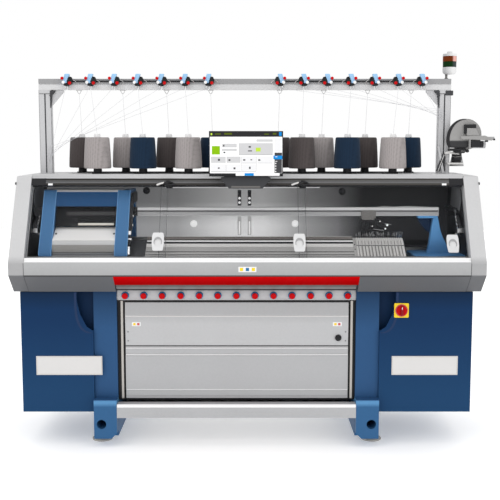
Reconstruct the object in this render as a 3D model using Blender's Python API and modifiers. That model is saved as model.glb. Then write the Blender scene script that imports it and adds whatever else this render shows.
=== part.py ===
"""Flat-bed knitting machine: frame, casing, needle beds, carriage, yarn gantry and sliding windows.

Metres, +Z up, front towards -Y, floor at z = 0.
"""
import math

import bmesh
import bpy
from mathutils import Matrix, Vector

NAME = "knitting_machine"
GAP = 0.0003                 # air left between two pieces that touch
MERGE = 0.00001

# overall
HALF_LENGTH = 1.25
HALF_DEPTH = 0.45
FEED_REACH = 1.37            # furthest right, the tip of the yarn feed unit's arm
LIFT_X = -(FEED_REACH - HALF_LENGTH) / 2   # brings the middle of the whole box to x = 0
CASING_THICK = 0.08
CASING_WALL = 0.008
INNER = HALF_LENGTH - CASING_THICK - GAP   # half length of everything between the casings

# side casing outline (y, z)
CASING_BOTTOM = 0.853
NOSE_LOW = 0.955
NOSE_HIGH = 1.020
CASING_TOP = 1.464
CASING_CHIN_Y = -0.34
CASING_BROW_Y = -0.20

# window plane: from the cover's edge up and back to the shelf
PLANE_Y = -0.43
PLANE_Z = 1.043
PLANE_RUN = 0.23
PLANE_RISE = 0.407
PLANE_LENGTH = math.hypot(PLANE_RUN, PLANE_RISE)
TRACK_FIRST = 0.010
TRACK_PITCH = 0.014
GLASS = 0.004
SLOT_SIDE = 0.001
HANDLE_PROUD = 0.006
HANDLE_WIDTH = 0.062
HANDLE_HEIGHT = 0.108
HANDLE_LOW = 0.033

# bed
BED_BOTTOM = 0.858
BED_TOP = 1.000
BED_BACK = 0.40
BED_FRONT = -0.43
BED_WALL = 0.015
COMB_Y = -0.17
COMB_HALF = 0.010
COMB_TOP = 1.130
BED_SLOPE = 0.625
BED_RUN = 0.160
BED_THICK = 0.024
BED_LEFT = -0.78
BED_RIGHT = 0.575
CLAMP_LEFT = 0.590
CLAMP_RIGHT = 0.850
CLAMP_RIBS = 22
END_LEFT = 0.895

# carriage
RAIL_TOP = 1.045
RAIL_BACK = COMB_Y - COMB_HALF - (COMB_TOP - BED_THICK - BED_TOP) / BED_SLOPE - 0.0004
RAIL_WIDTH = 0.024
CARRIAGE_LEFT = -1.108
CARRIAGE_RIGHT = -0.640
ARM_WIDTH = 0.066
CARRIAGE_TOP = 1.387
BEAM_LOW = 1.300
BOX_CLEAR = 0.006

# yarn rail and feeders
YARN_RAIL_LOW = 1.2477
YARN_RAIL_HIGH = 1.294
YARN_RAIL_HALF = 0.020
YARN_RAIL_END = 1.044
FEEDER_X = 0.660
FEEDER_WIDTH = 0.080

# belt drive of the carriage
PULLEY_X = INNER - 0.0497
PULLEY_Y = 0.135
PULLEY_R = 0.030
BELT = 0.003
BELT_LOW = 1.056
BELT_HIGH = 1.076
SHAFT_R = 0.008
SHAFT_CLEAR = 0.0005

# lower body
LOWER_X = -0.060
LEG_INNER = 0.646
LEG_WIDTH = 0.125
FRAME_LOW = 0.050
COLUMN_FRONT = -0.31
COLUMN_BACK = -0.12
FRAME_BACK = 0.40
BOOT_FRONT = -0.37
BOOT_TOP = 0.266
HOLE_OUT = 0.730
HOLE_Z = 0.130
HOLE_R = 0.026
FOOT_OUT = 0.750
FOOT_R = 0.055
FOOT_FRONT_Y = -0.21
FOOT_REAR_Y = 0.33
CABINET_LOW = 0.190
CABINET_TOP = CASING_BOTTOM - 0.0033
CABINET_FRONT = -0.33
CABINET_LEFT = -1.220
CABINET_RIGHT = 1.210
SHEET = 0.004
PANEL_LEFT = -0.662
PANEL_RIGHT = 0.546
DOOR_LOW = 0.550
DOOR_HIGH = 0.787
DOOR_BEND = 0.713
PANEL_LOW = 0.258
PANEL_FACE = -0.2985
INNER_FRAME_Y = -0.285
LOCK_X = 0.492
LOCK_Z = 0.593
LOCK_R = 0.0175
KNOBS = 13
KNOB_PITCH = 0.100
KNOB_Z = 0.825
KNOB_R = 0.0155
ROLLER_Y = -0.170
ROLLER_Z = 0.700
ROLLER_R = 0.030
TRIM_LEFT = -0.704
TRIM_RIGHT = 0.589
TRIM_LOW = 0.896
SWITCH_X = 0.827
SWITCH_Z = 0.750
SWITCH_HALF = 0.039
SWITCH_KNOB_R = 0.028

# upper gantry
SHELF_TOP = 1.475
SHELF_THICK = 0.025
SHELF_BACK = 0.16
WALL_Y = 0.18
UPPER_X = -0.013
CONE_R = 0.075
CONE_TOP_R = 0.066
CONE_HEIGHT = 0.170
CONE_LOW = 1.504
BACK_ROW_Y = 0.050
BACK_ROW_FIRST = 0.186
BACK_ROW_PITCH = 0.246
FRONT_ROW_Y = -0.115
FRONT_ROW_FIRST = 0.312
FRONT_ROW_PITCH = 0.250
POST_IN = 1.067
POST_OUT = 1.135
POST_FRONT = -0.07
POST_BACK = -0.03
GANTRY_LOW = 1.933
GANTRY_HIGH = 1.993
UNIT_PITCH = 0.1294
UNIT_LEFT = -0.987
UNIT_RIGHT = 0.178
LAMP_X = 1.118
LAMP_R = 0.038
LAMP_LOW = 2.020
LAMP_GREEN = 2.050
LAMP_RED = 2.078
LAMP_TOP = 2.144
MONITOR_X = -0.0074
MONITOR_WIDTH = 0.392
MONITOR_LOW = 1.4665
MONITOR_HIGH = 1.706
MONITOR_FRONT = -0.300
MONITOR_THICK = 0.030
TILT_Y = -0.259
TILT_Z = 1.585
LED_LEFT = -0.450
LED_RIGHT = 0.395
WHEEL_X = 1.204
WHEEL_Z = 1.690
WHEEL_R = 0.085

FINISHES = {
    "casing_white": ((0.80, 0.81, 0.82), 0.35, 0.0),
    "cover_grey": ((0.52, 0.53, 0.54), 0.4, 0.0),
    "dark_grey": ((0.05, 0.05, 0.055), 0.5, 0.0),
    "frame_blue": ((0.035, 0.13, 0.30), 0.4, 0.0),
    "cabinet_blue": ((0.015, 0.055, 0.17), 0.4, 0.0),
    "red": ((0.65, 0.01, 0.01), 0.35, 0.0),
    "green": ((0.02, 0.35, 0.08), 0.3, 0.0),
    "black": ((0.01, 0.01, 0.012), 0.45, 0.0),
    "steel": ((0.56, 0.57, 0.58), 0.3, 1.0),
    "aluminium": ((0.62, 0.63, 0.65), 0.35, 1.0),
    "window_clear": ((0.75, 0.80, 0.82), 0.05, 0.0),
    "yarn": ((0.30, 0.28, 0.27), 0.9, 0.0),
    "yellow": ((0.85, 0.62, 0.02), 0.4, 0.0),
    "rubber": ((0.02, 0.02, 0.02), 0.8, 0.0),
}

TO_YZ = Matrix(((0, 0, 1), (1, 0, 0), (0, 1, 0)))    # outline (y, z), thickness along x
TO_XZ = Matrix(((1, 0, 0), (0, 0, -1), (0, 1, 0)))   # outline (x, z), thickness along y
TO_XY = Matrix.Identity(3)                           # outline (x, y), thickness along z


def clear_scene():
    """Remove every object, so that the assembly starts from nothing."""
    for obj in list(bpy.data.objects):
        bpy.data.objects.remove(obj)


def new_object(bm, label):
    """Turn a bmesh in assembly coordinates into an object."""
    bmesh.ops.recalc_face_normals(bm, faces=bm.faces)
    mesh = bpy.data.meshes.new(label)
    bm.to_mesh(mesh)
    bm.free()
    obj = bpy.data.objects.new(label, mesh)
    bpy.context.scene.collection.objects.link(obj)
    return obj


def box(x, y, z):
    """A block between two values on each axis."""
    bm = bmesh.new()
    bmesh.ops.create_cube(bm, size=1.0)
    size = Matrix.Diagonal((x[1] - x[0], y[1] - y[0], z[1] - z[0], 1.0))
    middle = Vector(((x[0] + x[1]) / 2, (y[0] + y[1]) / 2, (z[0] + z[1]) / 2))
    bm.transform(Matrix.Translation(middle) @ size)
    return new_object(bm, "block")


def rod(start, end, radius, end_radius=None, sides=16):
    """A round bar or a taper between two points."""
    start = Vector(start)
    end = Vector(end)
    line = end - start
    far = radius if end_radius is None else end_radius
    bm = bmesh.new()
    bmesh.ops.create_cone(bm, cap_ends=True, segments=sides, radius1=radius, radius2=far,
                          depth=line.length)
    turn = Vector((0, 0, 1)).rotation_difference(line).to_matrix().to_4x4()
    bm.transform(Matrix.Translation((start + end) / 2) @ turn)
    return new_object(bm, "rod")


def as_mesh(guide):
    """Make a mesh object from an evaluated curve or modified guide and remove the guide."""
    bpy.context.view_layer.update()
    graph = bpy.context.evaluated_depsgraph_get()
    mesh = bpy.data.meshes.new_from_object(guide.evaluated_get(graph))
    mesh.transform(guide.matrix_world)
    bpy.data.objects.remove(guide)
    bm = bmesh.new()
    bm.from_mesh(mesh)
    bmesh.ops.remove_doubles(bm, verts=bm.verts, dist=MERGE)
    bpy.data.meshes.remove(mesh)
    return new_object(bm, "shape")


def plate(loops, low, high, turn):
    """A flat outline (outer loop first, then holes) given thickness between low and high."""
    curve = bpy.data.curves.new("outline", "CURVE")
    curve.dimensions = "2D"
    curve.fill_mode = "BOTH"
    curve.extrude = (high - low) / 2
    for loop in loops:
        spline = curve.splines.new("POLY")
        spline.points.add(len(loop) - 1)
        for point, (across, along) in zip(spline.points, loop):
            point.co = (across, along, 0.0, 1.0)
        spline.use_cyclic_u = True
    guide = bpy.data.objects.new("outline", curve)
    bpy.context.scene.collection.objects.link(guide)
    middle = turn @ Vector((0.0, 0.0, (high + low) / 2))
    if turn == TO_XZ:
        middle = -middle
    guide.matrix_world = Matrix.Translation(middle) @ turn.to_4x4()
    return as_mesh(guide)


def tube(points, radius, sides=3):
    """A bent round bar along a path."""
    curve = bpy.data.curves.new("path", "CURVE")
    curve.dimensions = "3D"
    curve.bevel_depth = radius
    curve.bevel_resolution = sides
    curve.use_fill_caps = True
    spline = curve.splines.new("POLY")
    spline.points.add(len(points) - 1)
    for point, place in zip(spline.points, points):
        point.co = (place[0], place[1], place[2], 1.0)
    guide = bpy.data.objects.new("path", curve)
    bpy.context.scene.collection.objects.link(guide)
    return as_mesh(guide)


def turned(profile, centre, axis="Z", steps=20):
    """A turned body: (radius, height) pairs that start and end on the axis."""
    mesh = bpy.data.meshes.new("profile")
    verts = [(radius, 0.0, height) for radius, height in profile]
    edges = [(i, i + 1) for i in range(len(verts) - 1)]
    mesh.from_pydata(verts, edges, [])
    guide = bpy.data.objects.new("profile", mesh)
    bpy.context.scene.collection.objects.link(guide)
    screw = guide.modifiers.new("turn", "SCREW")
    screw.steps = steps
    screw.render_steps = steps
    screw.use_merge_vertices = True
    screw.merge_threshold = MERGE
    if axis == "Y":
        guide.rotation_euler = (math.pi / 2, 0.0, 0.0)
    if axis == "X":
        guide.rotation_euler = (0.0, math.pi / 2, 0.0)
    guide.location = centre
    return as_mesh(guide)


def rounded(corners, radius, steps=3):
    """Replace each corner of an outline by a small arc."""
    points = []
    count = len(corners)
    for i, corner in enumerate(corners):
        here = Vector(corner)
        before = (Vector(corners[i - 1]) - here).normalized()
        after = (Vector(corners[(i + 1) % count]) - here).normalized()
        half = before.angle(after) / 2
        back = radius / math.tan(half)
        centre = here + (before + after).normalized() * (radius / math.sin(half))
        first = here + before * back - centre
        last = here + after * back - centre
        for step in range(steps + 1):
            share = step / steps
            mixed = (first * (1 - share) + last * share).normalized() * radius
            points.append(tuple(centre + mixed))
    return points


def gather(shapes):
    """Put several separate closed bodies into one helper object."""
    bm = bmesh.new()
    for shape in shapes:
        bm.from_mesh(shape.data)
        bpy.data.objects.remove(shape)
    return new_object(bm, "helper")


def combine(base, helper, operation):
    """Join a helper to a piece, or cut it away, with an exact Boolean."""
    modifier = base.modifiers.new(operation.lower(), "BOOLEAN")
    modifier.operation = operation
    modifier.solver = "EXACT"
    modifier.object = helper
    helper.name = "guide"
    helper.parent = base
    helper.hide_render = True
    helper.display_type = "WIRE"
    return base


def join(base, *shapes):
    """Union of a piece with bodies that do not touch each other."""
    return combine(base, gather(shapes), "UNION")


def cut(base, *shapes):
    """Take bodies that do not touch each other away from a piece."""
    return combine(base, gather(shapes), "DIFFERENCE")


def soften(obj, width, segments=1):
    """Break the sharp edges."""
    bevel = obj.modifiers.new("edges", "BEVEL")
    bevel.width = width
    bevel.segments = segments
    bevel.limit_method = "ANGLE"
    bevel.angle_limit = math.radians(40)
    return obj


def piece(obj, name, finish, pivot=None, smooth=False):
    """Name a piece, give it its finish and put its origin on its pivot or middle."""
    corners = [Vector(corner) for corner in obj.bound_box]
    middle = sum(corners, Vector()) / 8
    origin = Vector(pivot) if pivot else middle
    obj.data.transform(Matrix.Translation(-origin))
    obj.location = origin + Vector((LIFT_X, 0.0, 0.0))
    for helper in obj.children:
        helper.matrix_parent_inverse = Matrix.Translation(-origin)
        bpy.context.scene.collection.objects.unlink(helper)
        guides.objects.link(helper)
    colour, roughness, metallic = FINISHES[finish]
    material = bpy.data.materials.new(name)
    material.use_nodes = True
    shader = material.node_tree.nodes["Principled BSDF"]
    shader.inputs["Base Color"].default_value = (*colour, 1.0)
    shader.inputs["Roughness"].default_value = roughness
    shader.inputs["Metallic"].default_value = metallic
    obj.data.materials.clear()
    obj.data.materials.append(material)
    if smooth:
        obj.data.shade_smooth()
    obj.name = name
    obj.data.name = name
    bpy.context.scene.collection.objects.unlink(obj)
    assembly.objects.link(obj)
    return obj


def on_plane(up, deep):
    """Point (y, z) at a height up the window plane and a depth behind it."""
    run = PLANE_RUN / PLANE_LENGTH
    rise = PLANE_RISE / PLANE_LENGTH
    return (PLANE_Y + up * run + deep * rise, PLANE_Z + up * rise - deep * run)


def bed_line(y):
    """Height of the needle beds' upper faces above a place y."""
    return COMB_TOP - max(abs(y - COMB_Y) - COMB_HALF, 0.0) * BED_SLOPE


# ------------------------------------------------------------------ lower body
def side_frame(name, side):
    inner = LOWER_X + side * LEG_INNER
    outer = inner + side * LEG_WIDTH
    low, high = sorted((inner, outer))
    top = BED_BOTTOM - GAP
    shell = [(COLUMN_FRONT, FRAME_LOW), (COLUMN_FRONT, top), (FRAME_BACK, top), (FRAME_BACK, FRAME_LOW)]
    window = [(COLUMN_BACK, 0.16), (COLUMN_BACK, 0.77), (FRAME_BACK - 0.10, 0.77),
              (FRAME_BACK - 0.10, 0.16)]
    frame = plate([shell, window], low, high, TO_YZ)
    near = inner + side * 0.0006
    far = outer - side * 0.0006
    sole = FRAME_LOW + 0.0006
    boot_outline = [(near, sole + 0.03), (near, BOOT_TOP), (far, BOOT_TOP), (far, sole),
                    (near + side * 0.03, sole)]
    boot = plate([boot_outline], BOOT_FRONT, COLUMN_FRONT + 0.01, TO_XZ)
    join(frame, boot)
    hole_x = LOWER_X + side * HOLE_OUT
    hole = rod((hole_x, BOOT_FRONT - 0.01, HOLE_Z), (hole_x, COLUMN_FRONT + 0.08, HOLE_Z), HOLE_R, sides=24)
    bearing = rod((inner - side * 0.01, ROLLER_Y, ROLLER_Z), (inner + side * 0.03, ROLLER_Y, ROLLER_Z),
                  SHAFT_R + SHAFT_CLEAR)
    cut(frame, hole, bearing)
    piece(frame, name, "frame_blue")


def foot(name, side, y):
    profile = [(0.0, FRAME_LOW - GAP), (0.019, FRAME_LOW - GAP), (0.019, 0.016), (0.030, 0.014),
               (FOOT_R, 0.010), (FOOT_R, 0.0), (0.0, 0.0)]
    shape = turned(profile, (LOWER_X + side * FOOT_OUT, y, 0.0), steps=24)
    piece(shape, name, "rubber")


def cabinet(name, side):
    inner = LOWER_X + side * (LEG_INNER + LEG_WIDTH + GAP)
    outer = CABINET_LEFT if side < 0 else CABINET_RIGHT
    low, high = sorted((inner, outer))
    shape = box((low, high), (CABINET_FRONT, FRAME_BACK), (CABINET_LOW, CABINET_TOP))
    hollow = box((low + SHEET, high - SHEET), (CABINET_FRONT + SHEET, FRAME_BACK - SHEET),
                 (CABINET_LOW + SHEET, CABINET_TOP + 0.05))
    cut(shape, hollow)
    edge = inner + side * 0.085
    notch = [(inner - side * 0.01, CABINET_TOP + 0.01), (edge, CABINET_TOP + 0.01), (edge, 0.80),
             (inner + side * 0.070, 0.73), (inner + side * 0.035, 0.66), (inner - side * 0.01, 0.63)]
    cut(shape, plate([notch], CABINET_FRONT - 0.01, CABINET_FRONT + 0.10, TO_XZ))
    piece(shape, name, "cabinet_blue")


def cloth_bay():
    low = LOWER_X - LEG_INNER + GAP
    high = LOWER_X + LEG_INNER - GAP
    floor = 0.150
    back = FRAME_BACK - 0.010
    top = BED_BOTTOM - GAP
    tray = [(-0.275, floor), (-0.275, floor + SHEET), (back - SHEET, floor + SHEET), (back - SHEET, top),
            (back, top), (back, floor)]
    piece(plate([tray], low, high, TO_YZ), "cloth_bay_liner", "cover_grey")
    outer = [(low, PANEL_LOW - 0.013), (low, top), (high, top), (high, PANEL_LOW - 0.013)]
    hole = [(PANEL_LEFT + 0.03, DOOR_LOW + 0.02), (PANEL_LEFT + 0.03, DOOR_HIGH - 0.02),
            (PANEL_RIGHT - 0.03, DOOR_HIGH - 0.02), (PANEL_RIGHT - 0.03, DOOR_LOW + 0.02)]
    inner_frame = plate([outer, hole], INNER_FRAME_Y, INNER_FRAME_Y + SHEET, TO_XZ)
    piece(inner_frame, "front_frame", "black")
    kick = [(BOOT_FRONT, 0.166), (BOOT_FRONT, 0.241), (COLUMN_FRONT - 0.005, 0.241),
            (COLUMN_FRONT - 0.005, 0.237), (BOOT_FRONT + SHEET, 0.237), (BOOT_FRONT + SHEET, 0.166)]
    piece(plate([kick], low, high, TO_YZ), "kick_plate", "cover_grey")


def front_panels():
    back = INNER_FRAME_Y - GAP
    face = PANEL_FACE
    low_panel = [(back, PANEL_LOW), (face, PANEL_LOW), (face, 0.300), (face - 0.004, 0.310),
                 (face - 0.004, 0.49),
                 (face, 0.505), (face, DOOR_LOW - 0.005), (back, DOOR_LOW - 0.005)]
    piece(plate([low_panel], PANEL_LEFT, PANEL_RIGHT, TO_YZ), "lower_panel", "cover_grey")
    door = [(face + 0.004, DOOR_LOW), (face - 0.008, DOOR_BEND), (face, DOOR_HIGH),
            (face + 0.004, DOOR_HIGH),
            (face - 0.004, DOOR_BEND), (face + 0.008, DOOR_LOW)]
    leaf = plate([door], PANEL_LEFT, PANEL_RIGHT, TO_YZ)
    piece(leaf, "cloth_door", "cover_grey", pivot=(PANEL_LEFT + 0.003, face, (DOOR_LOW + DOOR_HIGH) / 2))
    front = face - 0.0005 - GAP
    lock = turned([(0.0, 0.0), (LOCK_R, 0.0), (LOCK_R, 0.006), (LOCK_R - 0.003, 0.009), (0.0, 0.009)],
                  (LOCK_X, front, LOCK_Z), axis="Y")
    wing = box((LOCK_X - 0.012, LOCK_X + 0.012), (front - 0.014, front - 0.004),
               (LOCK_Z - 0.003, LOCK_Z + 0.003))
    join(lock, wing)
    piece(lock, "door_lock", "black", pivot=(LOCK_X, front, LOCK_Z))


def knob_bar():
    low = LOWER_X - LEG_INNER + GAP
    high = LOWER_X + LEG_INNER - GAP
    bar = box((low, high), (INNER_FRAME_Y - GAP - 0.012, INNER_FRAME_Y - GAP), (0.800, BED_BOTTOM - GAP))
    knobs = []
    for i in range(KNOBS):
        x = LOWER_X + (i - (KNOBS - 1) / 2) * KNOB_PITCH
        profile = [(0.0, 0.0), (KNOB_R * 0.8, 0.0), (KNOB_R * 0.8, 0.010), (KNOB_R, 0.012), (KNOB_R, 0.026),
                   (KNOB_R * 0.7, 0.031), (0.0, 0.032)]
        knobs.append(turned(profile, (x, INNER_FRAME_Y - 0.008, KNOB_Z), axis="Y", steps=12))
    join(bar, *knobs)
    piece(bar, "take_down_knob_bar", "cover_grey")


def take_down_roller():
    low = LOWER_X - LEG_INNER
    high = LOWER_X + LEG_INNER
    roller = rod((low + 0.001, ROLLER_Y, ROLLER_Z), (high - 0.001, ROLLER_Y, ROLLER_Z), ROLLER_R, sides=20)
    join(roller, rod((low - 0.025, ROLLER_Y, ROLLER_Z), (high + 0.025, ROLLER_Y, ROLLER_Z), SHAFT_R))
    piece(roller, "take_down_roller", "rubber", pivot=(LOWER_X, ROLLER_Y, ROLLER_Z))


def main_switch():
    front = CABINET_FRONT - GAP
    outline = rounded([(SWITCH_X - SWITCH_HALF, SWITCH_Z - SWITCH_HALF),
                       (SWITCH_X - SWITCH_HALF, SWITCH_Z + SWITCH_HALF),
                       (SWITCH_X + SWITCH_HALF, SWITCH_Z + SWITCH_HALF),
                       (SWITCH_X + SWITCH_HALF, SWITCH_Z - SWITCH_HALF)],
                      0.005, 2)
    piece(plate([outline], front - 0.006, front, TO_XZ), "switch_plate", "yellow")
    face = front - 0.006 - GAP
    knob = turned([(0.0, 0.0), (SWITCH_KNOB_R, 0.0), (SWITCH_KNOB_R, 0.010), (SWITCH_KNOB_R - 0.003, 0.013),
                   (0.0, 0.013)], (SWITCH_X, face, SWITCH_Z), axis="Y", steps=24)
    grip = box((SWITCH_X - 0.006, SWITCH_X + 0.006), (face - 0.026, face - 0.008),
               (SWITCH_Z - 0.024, SWITCH_Z + 0.024))
    join(knob, grip)
    piece(knob, "switch_knob", "red", pivot=(SWITCH_X, face, SWITCH_Z))


# ------------------------------------------------------------------ casing and bed
def casing(name, side):
    outline = rounded([(CASING_CHIN_Y, CASING_BOTTOM), (-HALF_DEPTH, NOSE_LOW), (-HALF_DEPTH, NOSE_HIGH),
                       (CASING_BROW_Y, CASING_TOP), (HALF_DEPTH - 0.03, CASING_TOP),
                       (HALF_DEPTH, CASING_TOP - 0.03), (HALF_DEPTH, CASING_BOTTOM)], 0.010, 2)
    inner = side * (HALF_LENGTH - CASING_THICK)
    low, high = sorted((inner, side * HALF_LENGTH))
    shape = soften(plate([outline], low, high, TO_YZ), 0.006, 2)
    wall = CASING_WALL
    open_end = CASING_BOTTOM - 0.02
    pocket = [(CASING_CHIN_Y + wall, open_end), (CASING_CHIN_Y + wall, CASING_BOTTOM + wall),
              (wall - HALF_DEPTH, NOSE_LOW + wall / 2), (wall - HALF_DEPTH, NOSE_HIGH - wall / 4),
              (CASING_BROW_Y + wall / 2, CASING_TOP - wall), (HALF_DEPTH - 0.034, CASING_TOP - wall),
              (HALF_DEPTH - wall, CASING_TOP - 0.034), (HALF_DEPTH - wall, open_end)]
    cut(shape, plate([pocket], low + wall, high - wall, TO_YZ))
    piece(shape, name, "casing_white")


def front_cover():
    lip = (-HALF_DEPTH + 0.0065, NOSE_HIGH + 0.0075)
    outline = [(CASING_CHIN_Y, CASING_BOTTOM), (-HALF_DEPTH, NOSE_LOW), (-HALF_DEPTH, NOSE_HIGH), lip,
               (lip[0] + SHEET, lip[1] - SHEET), (-HALF_DEPTH + SHEET, NOSE_HIGH - 0.002),
               (-HALF_DEPTH + SHEET, NOSE_LOW + 0.002), (CASING_CHIN_Y + 0.003, CASING_BOTTOM + 0.003)]
    cover = plate([outline], -INNER, INNER, TO_YZ)
    cut(cover, box((TRIM_LEFT, TRIM_RIGHT), (-HALF_DEPTH - 0.01, CASING_CHIN_Y + 0.02),
                   (CASING_BOTTOM - 0.01, NOSE_LOW - 0.001)))
    piece(cover, "front_cover", "cover_grey")
    slope = (CASING_CHIN_Y + HALF_DEPTH) / (NOSE_LOW - CASING_BOTTOM)
    top = NOSE_LOW - 0.0015
    y_top = -HALF_DEPTH + slope * (NOSE_LOW - top)
    y_low = -HALF_DEPTH + slope * (NOSE_LOW - TRIM_LOW)
    trim = [(y_top, top), (y_low, TRIM_LOW), (y_low + 0.003, TRIM_LOW + 0.003), (y_top + 0.004, top)]
    piece(plate([trim], TRIM_LEFT + GAP, TRIM_RIGHT - GAP, TO_YZ), "red_trim", "red")


def window_tracks():
    last = TRACK_FIRST + 2 * TRACK_PITCH
    half = GLASS / 2 + SLOT_SIDE
    for name, base, mouth, deep in (("window_track_bottom", -0.018, 0.004, -0.008),
                                    ("window_track_top", 0.466, 0.440, 0.456)):
        comb = [(base, TRACK_FIRST - half - 0.005), (mouth, TRACK_FIRST - half - 0.005)]
        for i in range(3):
            middle = TRACK_FIRST + i * TRACK_PITCH
            comb += [(mouth, middle - half), (deep, middle - half), (deep, middle + half),
                     (mouth, middle + half)]
        comb += [(mouth, last + half + 0.004), (base, last + half + 0.004)]
        outline = [on_plane(up, depth) for up, depth in comb]
        piece(plate([outline], -INNER, INNER, TO_YZ), name, "dark_grey" if base > 0 else "casing_white")


def window(name, left, right, track, handle_x):
    depth = TRACK_FIRST + track * TRACK_PITCH
    low, high = -0.006, 0.452
    pane = [on_plane(low, depth - GLASS / 2), on_plane(low, depth + GLASS / 2),
            on_plane(high, depth + GLASS / 2), on_plane(high, depth - GLASS / 2)]
    shape = plate([pane], left, right, TO_YZ)
    front = depth - GLASS / 2 - HANDLE_PROUD
    up = HANDLE_LOW
    grip = [on_plane(up, depth), on_plane(up, front + 0.002), on_plane(up + 0.006, front),
            on_plane(up + HANDLE_HEIGHT - 0.006, front), on_plane(up + HANDLE_HEIGHT, front + 0.002),
            on_plane(up + HANDLE_HEIGHT, depth)]
    join(shape, plate([grip], handle_x - HANDLE_WIDTH / 2, handle_x + HANDLE_WIDTH / 2, TO_YZ))
    centre = on_plane(up + HANDLE_HEIGHT * 0.42, front - 0.001)
    floor = on_plane(up + HANDLE_HEIGHT * 0.42, front + 0.004)
    cut(shape, rod((handle_x, *centre), (handle_x, *floor), 0.022, sides=20))
    piece(shape, name, "window_clear")


def machine_bed():
    support = BED_THICK + GAP
    ridge = COMB_TOP - support
    sunk = BED_TOP - 0.010
    foot_run = (ridge - sunk) / BED_SLOPE + COMB_HALF
    outline = [(CASING_CHIN_Y + 0.010, BED_BOTTOM), (BED_FRONT, NOSE_LOW - 0.004), (BED_FRONT, BED_TOP),
               (BED_BACK, BED_TOP), (BED_BACK, BED_BOTTOM)]
    bed = plate([outline], -INNER, INNER, TO_YZ)
    roof = [(COMB_Y - foot_run, sunk), (COMB_Y - COMB_HALF, ridge), (COMB_Y + COMB_HALF, ridge),
            (COMB_Y + foot_run, sunk)]
    join(bed, plate([roof], BED_LEFT - 0.02, CLAMP_RIGHT + 0.01, TO_YZ))
    wall = BED_WALL
    trough = [(CASING_CHIN_Y + 0.010 + wall, BED_BOTTOM - 0.02),
              (CASING_CHIN_Y + 0.010 + wall, BED_BOTTOM + wall / 2),
              (BED_FRONT + wall, NOSE_LOW + wall / 4), (BED_FRONT + wall, BED_TOP - wall),
              (BED_BACK - wall, BED_TOP - wall), (BED_BACK - wall, BED_BOTTOM - 0.02)]
    cut(bed, plate([trough], wall - INNER, INNER - wall, TO_YZ))
    deep = BED_TOP - wall - 0.010
    under = ridge - 1.5 * wall
    loft = [(COMB_Y - COMB_HALF - (under - deep) / BED_SLOPE, deep), (COMB_Y - COMB_HALF, under),
            (COMB_Y + COMB_HALF, under), (COMB_Y + COMB_HALF + (under - deep) / BED_SLOPE, deep)]
    cut(bed, plate([loft], BED_LEFT, CLAMP_RIGHT - 0.01, TO_YZ))
    slot = box((-0.70, 0.58), (COMB_Y - COMB_HALF + 0.002, COMB_Y + COMB_HALF - 0.002), (0.80, 1.20))
    drive = rod((PULLEY_X, PULLEY_Y, 0.84), (PULLEY_X, PULLEY_Y, 1.02), SHAFT_R + SHAFT_CLEAR)
    idler = rod((-PULLEY_X, PULLEY_Y, 0.95), (-PULLEY_X, PULLEY_Y, 1.02), SHAFT_R + SHAFT_CLEAR)
    cut(bed, slot, drive, idler)
    piece(bed, "machine_bed", "dark_grey")


def sloping_block(side, thick, lift=0.0):
    """Cross-section (y, z) of a bar lying on one slope of the bed."""
    near = COMB_Y + side * COMB_HALF
    far = near + side * BED_RUN
    return [(near, bed_line(near) + lift), (far, bed_line(far) + lift), (far, bed_line(far) - thick),
            (near, bed_line(near) - thick)]


def needle_beds():
    for name, side in (("needle_bed_front", -1), ("needle_bed_rear", 1)):
        bar = plate([sloping_block(side, BED_THICK)], BED_LEFT, BED_RIGHT, TO_YZ)
        piece(bar, name, "steel")
    body = plate([sloping_block(-1, BED_THICK, -0.006)], CLAMP_LEFT, CLAMP_RIGHT, TO_YZ)
    ribs = []
    pitch = (CLAMP_RIGHT - CLAMP_LEFT - 0.006) / CLAMP_RIBS
    for i in range(CLAMP_RIBS):
        left = CLAMP_LEFT + 0.004 + i * pitch
        near = COMB_Y - COMB_HALF - 0.004
        far = near - BED_RUN + 0.008
        rib = [(near, bed_line(near)), (far, bed_line(far)), (far, bed_line(far) - 0.010),
               (near, bed_line(near) - 0.010)]
        ribs.append(plate([rib], left, left + pitch * 0.5, TO_YZ))
    join(body, *ribs)
    piece(body, "yarn_clamp_block", "aluminium")


def bed_end():
    low = BED_TOP + GAP
    block = box((END_LEFT, INNER), (-0.335, -0.05), (low, RAIL_TOP - 0.002))
    column = box((1.000, 1.090), (COMB_Y - YARN_RAIL_HALF, COMB_Y + YARN_RAIL_HALF),
                 (RAIL_TOP - 0.010, YARN_RAIL_LOW - GAP))
    join(block, column)
    arm = box((0.965, 1.095), (COMB_Y - YARN_RAIL_HALF - 0.004, COMB_Y + YARN_RAIL_HALF + 0.004),
              (YARN_RAIL_LOW - 0.030, YARN_RAIL_LOW - GAP - 0.0001))
    join(block, arm)
    piece(block, "rail_end_casting", "frame_blue")


def rails():
    low = BED_TOP + GAP
    front = box((-INNER, INNER), (RAIL_BACK - RAIL_WIDTH, RAIL_BACK), (low, RAIL_TOP))
    piece(front, "carriage_rail_front", "steel")
    rear = box((-INNER, INNER), (0.050, 0.085), (low, RAIL_TOP))
    piece(rear, "carriage_rail_rear", "steel")
    yarn = box((-INNER, YARN_RAIL_END), (COMB_Y - YARN_RAIL_HALF, COMB_Y + YARN_RAIL_HALF),
               (YARN_RAIL_LOW, YARN_RAIL_HIGH))
    grooves = [box((-INNER - 0.01, YARN_RAIL_END + 0.01), (COMB_Y + side * YARN_RAIL_HALF - 0.003,
                   COMB_Y + side * YARN_RAIL_HALF + 0.003), (1.268, 1.274)) for side in (-1, 1)]
    cut(yarn, *grooves)
    piece(yarn, "yarn_rail", "aluminium")


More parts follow.
